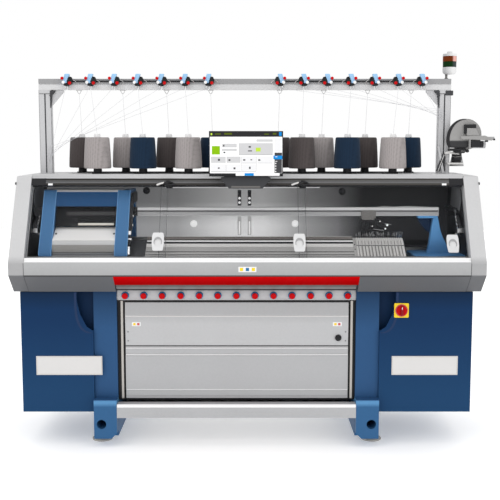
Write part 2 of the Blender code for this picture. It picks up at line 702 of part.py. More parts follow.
# ------------------------------------------------------------------ carriage
def carriage_bow():
    foot_z = RAIL_TOP + GAP
    arch = [(RAIL_BACK - 0.012, foot_z), (RAIL_BACK - 0.012, 1.065), (-0.178, 1.378),
            (-0.165, CARRIAGE_TOP), (0.070, CARRIAGE_TOP),
            (0.090, CARRIAGE_TOP - 0.02), (0.090, foot_z), (0.048, foot_z), (0.048, BEAM_LOW),
            (-0.192, BEAM_LOW),
            (-0.245, 1.200), (-0.318, 1.075), (-0.320, foot_z)]
    bow = plate([arch], CARRIAGE_LEFT, CARRIAGE_LEFT + ARM_WIDTH, TO_YZ)
    other = plate([arch], CARRIAGE_RIGHT - ARM_WIDTH, CARRIAGE_RIGHT, TO_YZ)
    join(bow, other)
    beam = [(-0.2185, 1.302), (-0.1775, 1.3765), (-0.163, CARRIAGE_TOP - 0.001),
            (0.050, CARRIAGE_TOP - 0.001),
            (0.050, 1.302)]
    join(bow, plate([beam], CARRIAGE_LEFT + 0.010, CARRIAGE_RIGHT - 0.010, TO_YZ))
    inner = COMB_Y + COMB_HALF + 0.005
    outer = COMB_Y + COMB_HALF + BED_RUN - 0.005
    rear_box = [(inner, bed_line(inner) + BOX_CLEAR), (inner, 1.187), (0.056, 1.187), (0.056, 1.055),
                (outer + 0.015, 1.055), (outer, bed_line(outer) + BOX_CLEAR)]
    join(bow, plate([rear_box], CARRIAGE_LEFT + ARM_WIDTH - 0.01, CARRIAGE_RIGHT - ARM_WIDTH + 0.01, TO_YZ))
    middle = (CARRIAGE_LEFT + CARRIAGE_RIGHT) / 2
    clamp = box((middle - 0.035, middle + 0.035), (0.045, PULLEY_Y - PULLEY_R - BELT - 2 * GAP),
                (1.060, 1.072))
    join(bow, clamp)
    piece(bow, "carriage_bow", "frame_blue", pivot=(middle, COMB_Y, RAIL_TOP))


def cam_box(side):
    """Cross-section (y, z) of a cam box riding just above one needle bed."""
    def at(reach, height=None):
        y = COMB_Y + side * reach
        return (y, bed_line(y) + BOX_CLEAR if height is None else height)
    return [at(0.015), at(0.015, 1.187), at(0.045, 1.187), at(0.160, 1.125), at(0.173, 1.045), at(0.173)]


def carriage_box():
    low = CARRIAGE_LEFT + ARM_WIDTH + GAP
    high = CARRIAGE_RIGHT - ARM_WIDTH - GAP
    cover = plate([cam_box(-1)], low, high, TO_YZ)
    grooves = [box((low - 0.01, high + 0.01), (-0.36, -0.333), (z, z + 0.003)) for z in (1.052, 1.062)]
    cut(cover, *grooves)
    piece(cover, "carriage_front_box", "casing_white", pivot=((low + high) / 2, COMB_Y, RAIL_TOP))


def yarn_feeder():
    half = FEEDER_WIDTH / 2
    top = YARN_RAIL_LOW - GAP
    block = box((FEEDER_X - half, FEEDER_X + half), (COMB_Y - 0.010, COMB_Y + YARN_RAIL_HALF + 0.008),
                (1.212, top))
    hook = box((FEEDER_X - half, FEEDER_X + half), (COMB_Y + YARN_RAIL_HALF + GAP,
                                                    COMB_Y + YARN_RAIL_HALF + 0.0079),
               (1.214, 1.262))
    join(block, hook)
    join(block, rod((FEEDER_X, COMB_Y, 1.215), (FEEDER_X, COMB_Y, 1.142), 0.006, 0.002, 10))
    piece(block, "yarn_feeder", "black", pivot=(FEEDER_X, COMB_Y, YARN_RAIL_LOW))


def belt_drive():
    for name, x in (("drive_pulley", PULLEY_X), ("idler_pulley", -PULLEY_X)):
        pulley = rod((x, PULLEY_Y, BELT_LOW - 0.004), (x, PULLEY_Y, BELT_HIGH), PULLEY_R, sides=24)
        low = BED_BOTTOM if x > 0 else 0.951
        join(pulley, rod((x, PULLEY_Y, low), (x, PULLEY_Y, BELT_HIGH - 0.002), SHAFT_R))
        piece(pulley, name, "steel", pivot=(x, PULLEY_Y, BELT_LOW))
    loops = []
    for radius in (PULLEY_R + BELT, PULLEY_R + GAP):
        loop = []
        for side in (1, -1):
            for i in range(13):
                angle = math.pi * i / 12 - math.pi / 2
                loop.append((side * (PULLEY_X + radius * math.cos(angle)),
                             PULLEY_Y + side * radius * math.sin(angle)))
        loops.append(loop)
    piece(plate(loops, BELT_LOW, BELT_HIGH, TO_XY), "drive_belt", "rubber")
    top = BED_BOTTOM - GAP
    motor = rod((PULLEY_X, PULLEY_Y, 0.66), (PULLEY_X, PULLEY_Y, top), 0.042, sides=24)
    join(motor, box((PULLEY_X - 0.041, PULLEY_X + 0.041), (PULLEY_Y - 0.048, PULLEY_Y + 0.048),
                    (0.80, top - 0.002)))
    piece(motor, "drive_motor", "black")


# ------------------------------------------------------------------ upper part
def shelf_and_walls():
    front = on_plane(0.466, TRACK_FIRST - 0.008)[0]
    shelf = box((-INNER, INNER), (front, SHELF_BACK), (SHELF_TOP - SHELF_THICK, SHELF_TOP))
    piece(soften(shelf, 0.004, 2), "cone_shelf", "casing_white")
    top = 1.444
    wall_outline = [(-INNER, BED_TOP + GAP), (-INNER, top - SHEET - GAP), (INNER, top - SHEET - GAP),
                    (INNER, BED_TOP + GAP)]
    slots = []
    for x in (-0.059, -0.0005):
        slots.append([(x, 1.14), (x, 1.39), (x + 0.022, 1.39), (x + 0.022, 1.14)])
    piece(plate([wall_outline, *slots], WALL_Y, WALL_Y + SHEET, TO_XZ), "back_wall", "cover_grey")
    cover = [(SHELF_BACK + 0.008, top - SHEET), (SHELF_BACK + 0.008, top), (HALF_DEPTH, top),
             (HALF_DEPTH, BED_BOTTOM),
             (HALF_DEPTH - SHEET, BED_BOTTOM), (HALF_DEPTH - SHEET, top - SHEET)]
    piece(plate([cover], -INNER, INNER, TO_YZ), "rear_cover", "casing_white")


def cone_rack(name, y, first, pitch, count):
    low = SHELF_TOP + GAP
    reach = first + (count - 1) * pitch + 0.03
    strip = box((UPPER_X - reach, UPPER_X + reach), (y - 0.012, y + 0.012), (low, low + 0.006))
    base = low + 0.002
    bottom = CONE_LOW - base
    profile = [(0.0, bottom + CONE_HEIGHT + 0.018), (0.016, bottom + CONE_HEIGHT + 0.018),
               (0.019, bottom + CONE_HEIGHT + 0.002), (CONE_TOP_R - 0.006, bottom + CONE_HEIGHT),
               (CONE_TOP_R, bottom + CONE_HEIGHT - 0.006), (CONE_R, bottom + 0.005),
               (CONE_R - 0.004, bottom),
               (0.030, bottom), (0.045, bottom - 0.010), (0.045, 0.0), (0.0, 0.0)]
    cones = []
    for side in (-1, 1):
        for i in range(count):
            cones.append(turned(profile, (UPPER_X + side * (first + i * pitch), y, base), steps=18))
    join(strip, *cones)
    piece(strip, name, "yarn")


def gantry():
    for name, side in (("post_left", -1), ("post_right", 1)):
        low, high = sorted((side * POST_IN, side * POST_OUT))
        post = box((low - 0.015, high - 0.015), (POST_FRONT, POST_BACK),
                   (SHELF_TOP + GAP, GANTRY_LOW - GAP))
        inner = side * POST_IN - 0.015
        top = GANTRY_LOW - GAP - 0.001
        gusset = [(inner + side * 0.005, top), (inner - side * 0.065, top),
                  (inner - side * 0.065, top - 0.012),
                  (inner, top - 0.085), (inner + side * 0.005, top - 0.085)]
        join(post, plate([gusset], POST_FRONT + 0.008, POST_BACK - 0.008, TO_XZ))
        piece(post, name, "casing_white")
    rail = box((-POST_OUT - 0.015, POST_OUT - 0.015), (POST_FRONT, POST_BACK), (GANTRY_LOW, GANTRY_HIGH))
    groove = box((-POST_OUT - 0.03, POST_OUT), (POST_FRONT - 0.01, POST_FRONT + 0.004), (1.960, 1.968))
    cut(rail, groove)
    piece(rail, "top_rail", "aluminium")


def tensioner_bank(name, first, inward):
    front = POST_FRONT - GAP
    strip = box((first - 0.020, first + 6 * UNIT_PITCH + 0.020), (front - 0.006, front), (1.974, 1.984))
    bodies = []
    knobs = []
    pins = []
    for i in range(7):
        x = first + i * UNIT_PITCH
        outline = [(x - 0.028, 1.992), (x - inward * 0.010, 2.020) if inward > 0 else (x - 0.028, 2.006),
                   (x + 0.028, 2.006) if inward > 0 else (x + 0.010, 2.020), (x + 0.028, 1.955),
                   (x - 0.028, 1.955)]
        bodies.append(plate([outline], front - 0.034, front - 0.003, TO_XZ))
        knobs.append(rod((x - inward * 0.015, front - 0.030, 1.985),
                         (x - inward * 0.015, front - 0.050, 1.985), 0.010, sides=12))
        knobs.append(rod((x + inward * 0.014, front - 0.030, 1.968),
                         (x + inward * 0.014, front - 0.050, 1.968), 0.010, sides=12))
        pins.append(rod((x, front - 0.018, 1.960), (x, front - 0.018, 1.928), 0.003, sides=8))
    join(strip, *bodies)
    join(strip, *knobs)
    join(strip, *pins)
    piece(strip, name, "frame_blue")


def signal_lamp():
    stem_x = LAMP_X - 0.012
    base = rod((LAMP_X, -0.05, LAMP_LOW), (LAMP_X, -0.05, LAMP_GREEN - GAP), LAMP_R * 0.9, LAMP_R, 24)
    join(base, rod((stem_x, -0.05, GANTRY_HIGH + GAP), (stem_x, -0.05, LAMP_LOW + 0.004), 0.009))
    piece(base, "lamp_base", "casing_white")
    green = rod((LAMP_X, -0.05, LAMP_GREEN), (LAMP_X, -0.05, LAMP_RED - GAP), LAMP_R * 0.92, sides=24)
    piece(green, "lamp_green", "green")
    profile = [(0.0, LAMP_TOP), (LAMP_R * 0.82, LAMP_TOP), (LAMP_R, LAMP_TOP - 0.008),
               (LAMP_R, LAMP_TOP - 0.030),
               (LAMP_R * 0.92, LAMP_TOP - 0.032), (LAMP_R * 0.92, LAMP_RED), (0.0, LAMP_RED)]
    piece(turned(profile, (LAMP_X, -0.05, 0.0), steps=24), "lamp_red", "red")


def monitor():
    low = MONITOR_X - MONITOR_WIDTH / 2
    high = MONITOR_X + MONITOR_WIDTH / 2
    back = MONITOR_FRONT + MONITOR_THICK
    screen = box((low, high), (MONITOR_FRONT, back), (MONITOR_LOW, MONITOR_HIGH))
    barrel = rod((MONITOR_X - 0.045, TILT_Y, TILT_Z), (MONITOR_X + 0.045, TILT_Y, TILT_Z), 0.0115)
    join(screen, barrel)
    piece(screen, "monitor", "black", pivot=(MONITOR_X, TILT_Y, TILT_Z))
    outline = [(-0.100, 1.400), (-0.142, 1.449), (-0.142, 1.460), (-0.065, 1.480),
               (-0.065, TILT_Z - 0.0118),
               (0.051, TILT_Z - 0.0118), (0.051, 1.480), (0.124, 1.460), (0.124, 1.449), (0.081, 1.400)]
    stand = plate([outline], TILT_Y - 0.003, TILT_Y + 0.003, TO_XZ)
    front = on_plane(0.466, TRACK_FIRST - 0.008)[0]
    join(stand, box((-0.060, 0.046), (TILT_Y, front - GAP), (1.453, 1.472)))
    piece(stand, "monitor_bracket", "dark_grey")


def led_bar():
    bar = box((LED_LEFT, LED_RIGHT), (-0.155, -0.137), (1.398, 1.410))
    arms = []
    for x in (LED_LEFT + 0.010, LED_RIGHT - 0.105):
        path = [(x, -0.146, 1.406), (x, -0.138, 1.420), (x, -0.118, 1.430), (x, -0.110, 1.438),
                (x, -0.110, SHELF_TOP - SHELF_THICK - GAP)]
        arms.append(tube(path, 0.005, 1))
    join(bar, *arms)
    piece(bar, "led_lamp_bar", "casing_white")


def feed_unit():
    left = POST_OUT - 0.015 + GAP
    arm = box((left, 1.245), (-0.060, -0.040), (1.655, 1.715))
    join(arm, rod((1.235, -0.050, 1.668), (FEED_REACH, -0.050, 1.668), 0.009))
    join(arm, rod((1.215, -0.050, 1.634), (1.320, -0.050, 1.634), 0.021, sides=20), )
    join(arm, box((1.225, 1.238), (-0.058, -0.042), (1.630, 1.660)))
    join(arm, box((1.150, 1.180), (-0.058, -0.042), (1.590, 1.660)))
    join(arm, rod((1.165, -0.050, 1.515), (1.165, -0.050, 1.600), 0.040, 0.022, 20))
    piece(arm, "feed_bracket", "aluminium")
    profile = [(0.0, 0.052), (0.016, 0.052), (0.022, 0.046), (0.040, 0.040), (0.070, 0.036),
               (WHEEL_R, 0.032),
               (WHEEL_R, 0.018), (0.060, 0.014), (0.030, 0.014), (0.012, 0.012), (0.012, 0.0), (0.0, 0.0)]
    wheel = turned(profile, (WHEEL_X, -0.060 - GAP, WHEEL_Z), axis="Y", steps=28)
    piece(wheel, "feed_wheel", "steel", pivot=(WHEEL_X, -0.060 - GAP, WHEEL_Z))


clear_scene()
assembly = bpy.data.collections.new(NAME)
guides = bpy.data.collections.new("guides")
bpy.context.scene.collection.children.link(assembly)
bpy.context.scene.collection.children.link(guides)

side_frame("side_frame_left", -1)
side_frame("side_frame_right", 1)
foot("foot_front_left", -1, FOOT_FRONT_Y)
foot("foot_front_right", 1, FOOT_FRONT_Y)
foot("foot_rear_left", -1, FOOT_REAR_Y)
foot("foot_rear_right", 1, FOOT_REAR_Y)
cabinet("cabinet_left", -1)
cabinet("cabinet_right", 1)
cloth_bay()
front_panels()
knob_bar()
take_down_roller()
main_switch()
casing("casing_left", -1)
casing("casing_right", 1)
front_cover()
window_tracks()
window("window_left", -1.165, -0.430, 0, -0.473)
window("window_middle", -0.470, 0.314, 1, 0.2755)
window("window_right", 0.272, 1.165, 2, 1.090)
machine_bed()
needle_beds()
bed_end()
rails()
carriage_bow()
carriage_box()
yarn_feeder()
belt_drive()
shelf_and_walls()
cone_rack("cone_rack_back", BACK_ROW_Y, BACK_ROW_FIRST, BACK_ROW_PITCH, 4)
cone_rack("cone_rack_front", FRONT_ROW_Y, FRONT_ROW_FIRST, FRONT_ROW_PITCH, 3)
gantry()
tensioner_bank("tensioner_bank_left", UNIT_LEFT, 1)
tensioner_bank("tensioner_bank_right", UNIT_RIGHT, -1)
signal_lamp()
monitor()
led_bar()
feed_unit()
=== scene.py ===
"""Looks of the flat knitting machine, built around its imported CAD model."""
import math
import random

import bmesh
import bpy
from mathutils import Matrix, Vector


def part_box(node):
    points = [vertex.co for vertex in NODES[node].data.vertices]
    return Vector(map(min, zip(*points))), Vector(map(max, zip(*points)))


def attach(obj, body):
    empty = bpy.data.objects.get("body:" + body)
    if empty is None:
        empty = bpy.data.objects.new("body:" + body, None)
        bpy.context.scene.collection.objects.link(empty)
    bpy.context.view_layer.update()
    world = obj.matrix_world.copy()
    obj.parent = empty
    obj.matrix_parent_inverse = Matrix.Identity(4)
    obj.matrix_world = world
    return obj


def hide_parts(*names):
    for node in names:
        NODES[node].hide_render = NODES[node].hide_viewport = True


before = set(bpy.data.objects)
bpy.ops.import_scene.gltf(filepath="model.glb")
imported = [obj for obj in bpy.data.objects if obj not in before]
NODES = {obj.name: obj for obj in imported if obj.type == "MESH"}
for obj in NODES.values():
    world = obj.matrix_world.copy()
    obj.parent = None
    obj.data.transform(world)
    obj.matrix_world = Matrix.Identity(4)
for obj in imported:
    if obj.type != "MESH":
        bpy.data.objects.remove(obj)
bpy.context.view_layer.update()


BED_LOW, BED_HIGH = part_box("machine_bed")
MX = (BED_LOW.x + BED_HIGH.x) / 2       # middle of the casing
IN = (BED_HIGH.x - BED_LOW.x) / 2       # half the length between the casings


# ------------------------------------------------------------------ materials
def surface(name, colour, rough=0.4, metal=0.0, vary=0.05, grain=90.0, bump=0.03, stretch=(1, 1, 1),
            coat=0.0, alpha=1.0, glow=0.0, cloud=0.05, gleam=0.25):
    """A painted, moulded or metal finish with fine grain, soft clouding and uneven gloss."""
    mat = bpy.data.materials.new(name)
    mat.use_nodes = True
    tree = mat.node_tree
    shader = tree.nodes["Principled BSDF"]
    shader.inputs["Metallic"].default_value = metal
    shader.inputs["Specular IOR Level"].default_value = 0.5 if metal else gleam
    shader.inputs["Coat Weight"].default_value = coat
    shader.inputs["Alpha"].default_value = alpha
    coords = tree.nodes.new("ShaderNodeTexCoord")
    mapping = tree.nodes.new("ShaderNodeMapping")
    mapping.inputs["Scale"].default_value = stretch
    tree.links.new(coords.outputs["Object"], mapping.inputs["Vector"])
    fine = tree.nodes.new("ShaderNodeTexNoise")
    fine.inputs["Scale"].default_value = grain
    fine.inputs["Detail"].default_value = 6.0
    tree.links.new(mapping.outputs["Vector"], fine.inputs["Vector"])
    broad = tree.nodes.new("ShaderNodeTexNoise")
    broad.inputs["Scale"].default_value = 2.5
    broad.inputs["Detail"].default_value = 4.0
    tree.links.new(coords.outputs["Object"], broad.inputs["Vector"])
    low = tree.nodes.new("ShaderNodeMapRange")
    low.inputs["To Min"].default_value = 1.0 - vary
    low.inputs["To Max"].default_value = 1.0 + vary
    tree.links.new(fine.outputs["Fac"], low.inputs["Value"])
    wide = tree.nodes.new("ShaderNodeMapRange")
    wide.inputs["To Min"].default_value = 1.0 - cloud
    wide.inputs["To Max"].default_value = 1.0 + cloud
    tree.links.new(broad.outputs["Fac"], wide.inputs["Value"])
    both = tree.nodes.new("ShaderNodeMath")
    both.operation = "MULTIPLY"
    tree.links.new(low.outputs["Result"], both.inputs[0])
    tree.links.new(wide.outputs["Result"], both.inputs[1])
    tint = tree.nodes.new("ShaderNodeVectorMath")
    tint.operation = "SCALE"
    tint.inputs[0].default_value = colour
    tree.links.new(both.outputs["Value"], tint.inputs["Scale"])
    tree.links.new(tint.outputs["Vector"], shader.inputs["Base Color"])
    gloss = tree.nodes.new("ShaderNodeMapRange")
    gloss.inputs["To Min"].default_value = max(rough - 0.06, 0.02)
    gloss.inputs["To Max"].default_value = min(rough + 0.06, 1.0)
    tree.links.new(broad.outputs["Fac"], gloss.inputs["Value"])
    tree.links.new(gloss.outputs["Result"], shader.inputs["Roughness"])
    if bump:
        relief = tree.nodes.new("ShaderNodeBump")
        relief.inputs["Strength"].default_value = bump
        relief.inputs["Distance"].default_value = 0.001
        tree.links.new(fine.outputs["Fac"], relief.inputs["Height"])
        tree.links.new(relief.outputs["Normal"], shader.inputs["Normal"])
    if glow:
        shader.inputs["Emission Color"].default_value = (*colour, 1.0)
        shader.inputs["Emission Strength"].default_value = glow
    return mat


def zoned(name, base, zones, axis=2, rough=0.4, soft=0.002, gleam=0.25):
    """A coat whose shade changes at heights (or places) along one axis: (start, colour) pairs."""
    mat = surface(name, base, rough, gleam=gleam)
    tree = mat.node_tree
    scale = next(node for node in tree.nodes if node.type == "VECT_MATH")
    coords = next(node for node in tree.nodes if node.type == "TEX_COORD")
    split = tree.nodes.new("ShaderNodeSeparateXYZ")
    tree.links.new(coords.outputs["Object"], split.inputs["Vector"])
    last = None
    for start, colour, *width in zones:
        reach = width[0] if width else soft
        step = tree.nodes.new("ShaderNodeMapRange")
        step.inputs["From Min"].default_value = start - reach
        step.inputs["From Max"].default_value = start + reach
        tree.links.new(split.outputs[axis], step.inputs["Value"])
        mix = tree.nodes.new("ShaderNodeMix")
        mix.data_type = "RGBA"
        mix.inputs["A"].default_value = (*base, 1.0)
        mix.inputs["B"].default_value = (*colour, 1.0)
        tree.links.new(step.outputs["Result"], mix.inputs["Factor"])
        if last is not None:
            tree.links.new(last.outputs["Result"], mix.inputs["A"])
        last = mix
    tree.links.new(last.outputs["Result"], scale.inputs[0])
    return mat


def shaded(mat, axis, start, stop, low, high):
    """Let the shade of a finish change evenly along one axis."""
    tree = mat.node_tree
    scale = next(node for node in tree.nodes if node.type == "VECT_MATH")
    coords = next(node for node in tree.nodes if node.type == "TEX_COORD")
    split = tree.nodes.new("ShaderNodeSeparateXYZ")
    tree.links.new(coords.outputs["Object"], split.inputs["Vector"])
    ramp = tree.nodes.new("ShaderNodeMapRange")
    for label, value in (("From Min", start), ("From Max", stop), ("To Min", low), ("To Max", high)):
        ramp.inputs[label].default_value = value
    tree.links.new(split.outputs[axis], ramp.inputs["Value"])
    product = tree.nodes.new("ShaderNodeMath")
    product.operation = "MULTIPLY"
    tree.links.new(scale.inputs["Scale"].links[0].from_socket, product.inputs[0])
    tree.links.new(ramp.outputs["Result"], product.inputs[1])
    tree.links.new(product.outputs["Value"], scale.inputs["Scale"])
    return mat


def lit(mat, strength):
    """Painted light: the face glows with its own colour, standing in for the light that the light bar
    throws on it.
    """
    tree = mat.node_tree
    scale = next(node for node in tree.nodes if node.type == "VECT_MATH")
    shader = tree.nodes["Principled BSDF"]
    tree.links.new(scale.outputs["Vector"], shader.inputs["Emission Color"])
    shader.inputs["Emission Strength"].default_value = strength
    return mat


def brushed(name, colour, rough=0.3, along="X"):
    """Ground metal with fine lines along one axis."""
    stretch = {"X": (2, 120, 120), "Y": (120, 2, 120), "Z": (120, 120, 2)}[along]
    return surface(name, colour, rough, 1.0, vary=0.10, grain=4.0, bump=0.05, stretch=stretch)


def yarn(name, colour):
    """Cross-wound yarn: two sets of slanted strands with a fibrous sheen."""
    mat = surface(name, colour, 0.9, vary=0.22, grain=420.0, bump=0.2, stretch=(1, 1, 3))
    tree = mat.node_tree
    shader = tree.nodes["Principled BSDF"]
    shader.inputs["Sheen Weight"].default_value = 0.05
    coords = next(node for node in tree.nodes if node.type == "TEX_COORD")
    scale = next(node for node in tree.nodes if node.type == "VECT_MATH")
    waves = []
    for turn in (0.22, -0.22):
        mapping = tree.nodes.new("ShaderNodeMapping")
        mapping.inputs["Rotation"].default_value = (turn, turn, 0.0)
        wave = tree.nodes.new("ShaderNodeTexWave")
        wave.bands_direction = "Z"
        wave.inputs["Scale"].default_value = 48.0
        wave.inputs["Distortion"].default_value = 1.2
        wave.inputs["Detail"].default_value = 2.0
        tree.links.new(coords.outputs["Object"], mapping.inputs["Vector"])
        tree.links.new(mapping.outputs["Vector"], wave.inputs["Vector"])
        waves.append(wave)
    weave = tree.nodes.new("ShaderNodeMath")
    weave.operation = "MAXIMUM"
    tree.links.new(waves[0].outputs["Fac"], weave.inputs[0])
    tree.links.new(waves[1].outputs["Fac"], weave.inputs[1])
    shade = tree.nodes.new("ShaderNodeMapRange")
    shade.inputs["To Min"].default_value = 0.55
    shade.inputs["To Max"].default_value = 1.15
    tree.links.new(weave.outputs["Value"], shade.inputs["Value"])
    old = scale.inputs["Scale"].links[0].from_socket
    product = tree.nodes.new("ShaderNodeMath")
    product.operation = "MULTIPLY"
    tree.links.new(old, product.inputs[0])
    tree.links.new(shade.outputs["Result"], product.inputs[1])
    tree.links.new(product.outputs["Value"], scale.inputs["Scale"])
    relief = next(node for node in tree.nodes if node.type == "BUMP")
    tree.links.new(weave.outputs["Value"], relief.inputs["Height"])
    relief.inputs["Distance"].default_value = 0.002
    return mat


WHITE = surface("white_coat", (0.54, 0.54, 0.545), 0.38)
SHELF = surface("shelf_coat", (0.47, 0.47, 0.475), 0.4)
SILVER = surface("silver_coat", (0.50, 0.50, 0.51), 0.42)
PANEL_GREY = surface("lower_grey", (0.415, 0.418, 0.427), 0.45)
# Cloth door: its upper part is painted darker as shade.
DOOR_GREY = zoned("door_grey", (0.47, 0.474, 0.482), [(0.70, (0.395, 0.40, 0.408), 0.030)], rough=0.45)
MID = surface("mid_grey", (0.22, 0.225, 0.235), 0.45)
DARK = surface("dark_grey", (0.045, 0.046, 0.050), 0.5)
BLACK = surface("black_plastic", (0.012, 0.012, 0.014), 0.42)
RUBBER = surface("black_rubber", (0.02, 0.02, 0.021), 0.8, bump=0.15)
CARRIAGE_BLUE = surface("carriage_blue", (0.056, 0.150, 0.320), 0.38, vary=0.05, bump=0.05, gleam=0.12)
CABINET_BLUE = surface("cabinet_blue", (0.006, 0.026, 0.085), 0.45, vary=0.05, bump=0.06)
# Red trim with painted shade: darker towards its lower edge and brighter towards its top as lit.
RED = shaded(surface("red_gloss_painted_shade", (0.45, 0.001, 0.002), 0.40, gleam=0.012), 2, 0.905, 0.950, 0.72, 1.25)
RED_KNOB = surface("red_knob", (0.52, 0.004, 0.006), 0.38, gleam=0.06)
STEEL = brushed("ground_steel", (0.50, 0.50, 0.50), 0.32)
BRIGHT = brushed("bright_steel", (0.75, 0.75, 0.75), 0.22)
ALU = brushed("anodised", (0.36, 0.36, 0.365), 0.38)
YELLOW = surface("yellow_plate", (0.85, 0.60, 0.02), 0.4)
# Signal lamp with painted light: a pale pink band on the red lens and a grey band on the green lens are
# painted highlights, and the white parts are painted darker on their left side as shade.
LAMP_RED = zoned("lamp_red_lens_painted_highlight", (0.125, 0.024, 0.004), [(1.0640, (0.70, 0.38, 0.33), 0.004),
                                                          (1.0850, (0.30, 0.16, 0.10), 0.003)],
                 axis=0, rough=0.3, gleam=0.05)
LAMP_GREEN = zoned("lamp_green_lens_painted_highlight", (0.004, 0.026, 0.005), [(1.0640, (0.045, 0.055, 0.055), 0.006)],
                   axis=0, rough=0.3, gleam=0.05)
LAMP_WHITE = zoned("lamp_white", (0.42, 0.42, 0.425), [(1.0450, (0.72, 0.72, 0.72), 0.020)], axis=0)
DOME_COAT = zoned("dome_coat", (0.030, 0.030, 0.032), [(1.6555, (0.31, 0.305, 0.30), 0.004),
                                                       (1.6800, (0.30, 0.295, 0.29), 0.004)])
DOME_GREY = surface("dome_grey", (0.30, 0.295, 0.29), 0.42)
PURE = surface("white_plastic", (0.85, 0.85, 0.85), 0.35)
BAND_BLUE = surface("tensioner_blue", (0.10, 0.30, 0.62), 0.35)
SKY = surface("tensioner_cover", (0.30, 0.52, 0.76), 0.3)
YARN_LIGHT = yarn("yarn_light", (0.325, 0.297, 0.293))
YARN_DARK = yarn("yarn_dark", (0.068, 0.057, 0.056))
YARN_NAVY = yarn("yarn_navy", (0.0045, 0.018, 0.042))
EDGE = surface("glass_edge", (0.10, 0.105, 0.11), 0.4, vary=0.03, alpha=0.45, gleam=0.1)
PLATE_WHITE = surface("handle_plate", (0.66, 0.66, 0.665), 0.4, vary=0.02, gleam=0.1)
HANDLE = surface("handle_white", (0.84, 0.84, 0.84), 0.35, vary=0.02)
WARM = surface("warm_grey", (0.17, 0.155, 0.145), 0.45)
LIGHT_STEEL = surface("light_steel", (0.62, 0.61, 0.60), 0.40, stretch=(0.02, 1, 1))
MID_STEEL = surface("mid_steel", (0.36, 0.355, 0.35), 0.42, stretch=(0.02, 1, 1))
PALE = surface("pale_alloy", (0.62, 0.61, 0.60), 0.4)
GUNMETAL = brushed("gunmetal", (0.16, 0.155, 0.15), 0.42)
COLLAR_BLUE = surface("collar_blue", (0.020, 0.150, 0.330), 0.4, gleam=0.15)
LIGHT_COAT = surface("light_coat", (0.66, 0.66, 0.665), 0.36)
# Grey for painted shadows: in the handle cups and along the lower panel's creases.
SHADE = surface("painted_shadow_grey", (0.34, 0.34, 0.345), 0.45)
BEIGE = surface("pale_zinc", (0.46, 0.44, 0.41), 0.42)
OFF_WHITE = surface("off_white_plate", (0.64, 0.63, 0.62), 0.42, vary=0.02)
WARM_WHITE = surface("plate_border", (0.46, 0.43, 0.37), 0.45)
WHITE_LABEL = surface("white_label", (0.80, 0.80, 0.80), 0.5, vary=0.02, gleam=0.1)
ROSE = surface("rose_plastic", (0.55, 0.10, 0.11), 0.4, gleam=0.1)
DARK_RED = surface("dark_red", (0.26, 0.006, 0.010), 0.35, gleam=0.15)
CLAMP_SHADE = surface("clamp_shade", (0.21, 0.205, 0.20), 0.5, gleam=0.1)
SIDE_BLUE = surface("side_blue", (0.022, 0.074, 0.180), 0.42, gleam=0.1)
# Painted shade for the strip under the red trim: grey, turning dark towards the top where the trim
# overhangs it.
RECESS = zoned("recess_painted_shade", (0.34, 0.335, 0.33), [(0.876, (0.115, 0.113, 0.110), 0.012)])
SEAM = surface("seam_grey", (0.060, 0.060, 0.062), 0.55, gleam=0.1)
CABINET_DEEP = surface("cabinet_shadow_blue", (0.006, 0.024, 0.070), 0.5, gleam=0.08)
SCREEN_WHITE = surface("screen_white", (0.90, 0.90, 0.90), 0.3, vary=0.01, bump=0.0, gleam=0.05,
                       glow=0.10, cloud=0.01)
SCREEN_GREY = surface("screen_grey", (0.56, 0.56, 0.57), 0.3, vary=0.02, bump=0.0, gleam=0.05, glow=0.05)
SCREEN_PALE = surface("screen_pale", (0.76, 0.76, 0.77), 0.3, vary=0.02, bump=0.0, gleam=0.05, glow=0.05)
SCREEN_LINE = surface("screen_line", (0.40, 0.40, 0.41), 0.3, vary=0.02, bump=0.0, gleam=0.05)
SCREEN_GREEN = surface("screen_green", (0.230, 0.460, 0.006), 0.3, vary=0.02, bump=0.0, gleam=0.05,
                       glow=0.05)
SCREEN_LIME = surface("screen_lime", (0.48, 0.68, 0.06), 0.3, vary=0.02, bump=0.0, gleam=0.05, glow=0.05)
SCREEN_OLIVE = surface("screen_olive", (0.085, 0.115, 0.010), 0.3, vary=0.02, bump=0.0, gleam=0.05)
SCREEN_BLUE = surface("screen_blue", (0.010, 0.230, 0.620), 0.3, vary=0.02, bump=0.0, gleam=0.05, glow=0.05)
SCREEN_DARK = surface("screen_dark", (0.060, 0.060, 0.064), 0.3, vary=0.03, bump=0.0, gleam=0.05)
TAUPE = shaded(surface("taupe_coat", (0.050, 0.047, 0.044), 0.45, gleam=0.08), 0, MX - 0.5, MX + 0.4,
               0.70, 1.15)
FASCIA = surface("fascia_grey", (0.255, 0.248, 0.238), 0.42, gleam=0.2)
LID = surface("lid_coat", (0.76, 0.75, 0.74), 0.4, vary=0.02)
BEAM_BLUE = surface("beam_blue_painted_shade", (0.015, 0.062, 0.158), 0.42, gleam=0.1)
ARM_BLUE = surface("arm_blue", (0.055, 0.150, 0.305), 0.40, gleam=0.1)
EDGE_BLUE = surface("edge_blue_painted_highlight", (0.150, 0.330, 0.600), 0.35, gleam=0.2)
# Rail end casting with painted light: lighter above 1.10 m as lit, darker below as shade.
CAST_BLUE_PAINTED_LIGHT = zoned("cast_blue_painted_light", (0.070, 0.200, 0.400), [(1.10, (0.105, 0.290, 0.560), 0.03)], gleam=0.1)
PAINTED_SHADE_BLACK = surface("dark_panel", (0.012, 0.012, 0.013), 0.5, gleam=0.1)
SHADOW_GREY = surface("shadow_grey", (0.052, 0.051, 0.052), 0.5, gleam=0.1)
WARM_PLATE = surface("warm_plate", (0.55, 0.53, 0.48), 0.4)
CHARCOAL = surface("charcoal_plastic", (0.020, 0.020, 0.022), 0.38, gleam=0.15)
STRAND = surface("yarn_strand", (0.55, 0.55, 0.57), 0.8, vary=0.15, grain=500.0)
CLEAR = surface("clear_acrylic", (0.10, 0.11, 0.12), 0.06, vary=0.02, bump=0.0, alpha=0.025)


